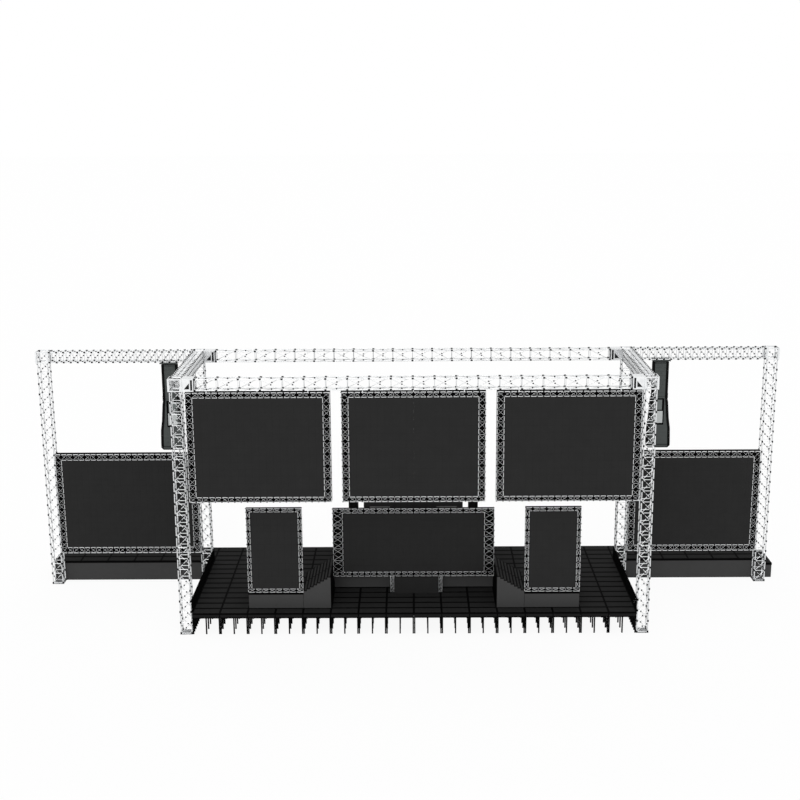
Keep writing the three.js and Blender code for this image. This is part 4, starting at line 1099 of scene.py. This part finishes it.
# Speaker columns
# Two hung columns of line-array boxes in textured grey paint, in two halves that tilt, on a
# grey fly bar under the wing beam.
SPEAKER_GREY = "#4b4f4e"
SPEAKER_DARK = "#444847"
FLANK_BLACK = "#050505"
FLANK_LIGHT = "#0c0c0c"
SPEAKER_TEXTURE_MM = 3
SPEAKER_CLOUD_MM = 260
COLUMN_HALF = 0.635
CHEEK = 0.125
CHEEK_EDGE = 0.085
HEAD_IN = 0.02
TONGUE_RISE = 0.15
EAR_DROP = 0.13
SEAM_GAP = 0.015
BUMPER = 0.27
BUMPER_LIP_DROP = 0.13
BUMPER_LIP_HEIGHT = 0.18
BUMPER_LIP_IN = 0.2
LIP_THICKNESS = 0.006
LIP_EDGE_PART = 3
FLARE = 0.31
FLARE_SHARES = ((0.05, 0), (0.1, 0.16), (0.45, 0.5), (0.66, 0.88), (0.95, 1))
UPPER_CABINETS = 8
LOWER_CABINETS = 12
GRILLE_GAP = 0.004
GRILLE_THICKNESS = 0.014
GRILLE_BACK = 0.005
GRILLE_BEVEL = 0.004
GRILLE_RIM = 0.012
PLATE_PALE = ("#b6bab9", "#bfc3c2")
WINDOW_GREY = ("#6d7271", "#747978")
PLATE_EDGE_PART = 4


def textured_paint(name, dark, light, sheen):
    """Textured polyurea paint on plywood: matt, with a coarse sprayed stipple."""
    made, tree = new_tree(name)
    clouds = texture(tree, SPEAKER_CLOUD_MM, Detail=4.0)
    stipple = texture(tree, SPEAKER_TEXTURE_MM, Detail=2.0)
    shade(tree, dark, light, clouds, {"Roughness": 0.8, "Specular IOR Level": sheen},
          Normal=bumps(tree, stipple, strength=0.2, depth=0.001))
    return made


# The grilles and the fly bars are mid grey, and the cabinets' sides and backs black.
speaker_paint = textured_paint("textured_grey_paint", SPEAKER_DARK, SPEAKER_GREY, sheen=0.25)
black_texture = textured_paint("textured_black_paint", FLANK_BLACK, FLANK_LIGHT, sheen=0.1)
plate_grey = satin_paint("pale_grey_enamel", *PLATE_PALE)
window_grey = satin_paint("mid_grey_enamel", *WINDOW_GREY)

# Plates on the lower half, left bare: from the middle line outwards, down from the seam, and
# how far each stands proud.
# The black frame plate is painted shade: a black border round the window and the pale plate, put
# where the recess round them is in shade.
PLATES = (("frame", black_powder, (-0.4, 0.38, 0.14, 2.25, 0.002)),
          ("window", window_grey, (-0.4, 0.22, 0.25, 1.05, 0.004)),
          ("plate", plate_grey, (-0.4, 0.29, 1.15, 2.1, 0.004)))


def grille(middle_x, y, z0, z1, half0, half1):
    """One cabinet's grille: a plate with a raised rim, between two heights and half widths."""
    made = block((middle_x, y, (z0 + z1) / 2), (2 * half1, GRILLE_THICKNESS, z1 - z0 - GRILLE_GAP))
    bpy.ops.object.mode_set(mode="EDIT")
    select_facing(made, -Z)
    bpy.ops.transform.resize(value=(half0 / half1, 1, 1), center_override=(middle_x, y, z0))
    select_facing(made, -Y)
    bpy.ops.mesh.bevel(offset=GRILLE_BEVEL, segments=1, affect="EDGES")
    select_facing(made, -Y)
    bpy.ops.mesh.inset(thickness=GRILLE_RIM)
    extrude(0, GRILLE_BEVEL / 2, 0)
    bpy.ops.object.mode_set(mode="OBJECT")
    return made


def flank_out(down):
    """How far the side of the lower half stands out at a share of its way down."""
    for (d0, out0), (d1, out1) in zip(FLARE_SHARES, FLARE_SHARES[1:]):
        if down <= d1:
            return FLARE * (out0 + (out1 - out0) * max(0.0, down - d0) / (d1 - d0))
    return FLARE


for side, hand in (("left", -1), ("right", 1)):
    upper, lower, fly_bar = (f"array_{part}_{side}" for part in ("upper", "lower", "fly_bar"))
    upper_low, upper_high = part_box(upper)
    middle_x = (upper_low.x + upper_high.x) / 2
    front = upper_low.y
    y = front + GRILLE_BACK + GRILLE_THICKNESS / 2
    top = upper_high.z - TONGUE_RISE - CHEEK
    seam = upper_low.z + EAR_DROP
    seam_low = seam - SEAM_GAP / 2
    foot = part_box(lower)[0].z + BUMPER
    half = COLUMN_HALF - CHEEK - CHEEK_EDGE
    step = (top - seam - SEAM_GAP / 2) / UPPER_CABINETS
    first = grille(middle_x, y, top - step, top, half, half)
    head = block((middle_x, front - LIP_THICKNESS / 2, top + CHEEK / 2),
                 (2 * half, LIP_THICKNESS, CHEEK - 2 * HEAD_IN), LIP_THICKNESS / LIP_EDGE_PART)
    upper_face = join([repeat(first, UPPER_CABINETS, (0, 0, -step)), head])
    step = (seam_low - foot) / LOWER_CABINETS
    panels = []
    for i in range(LOWER_CABINETS):
        halves = [half + flank_out((i + k) / LOWER_CABINETS) for k in (0, 1)]
        panels.append(grille(middle_x, y, seam_low - step * (i + 1), seam_low - step * i,
                             halves[1], halves[0]))
    lip_half = COLUMN_HALF + FLARE - BUMPER_LIP_IN
    panels.append(block((middle_x, front - LIP_THICKNESS / 2, foot - BUMPER_LIP_DROP),
                        (2 * lip_half, LIP_THICKNESS, BUMPER_LIP_HEIGHT),
                        LIP_THICKNESS / LIP_EDGE_PART))
    finish_piece(upper_face, f"{upper}_grilles", upper, speaker_paint)
    finish_piece(join(panels), f"{lower}_grilles", lower, speaker_paint)
    for name, material, (x0, x1, z0, z1, proud) in PLATES:
        centre = (middle_x + hand * (x0 + x1) / 2, front + GRILLE_BACK - proud / 2,
                  seam - (z0 + z1) / 2)
        plate = block(centre, (x1 - x0, proud, z1 - z0), proud / PLATE_EDGE_PART)
        finish_piece(plate, f"{lower}_{name}", lower, material)
    for node, material in ((upper, black_texture), (lower, black_texture),
                           (fly_bar, speaker_paint)):
        give_material(frame["nodes"][node], material)

for mesh in [m for m in bpy.data.meshes if not m.users]:
    bpy.data.meshes.remove(mesh)
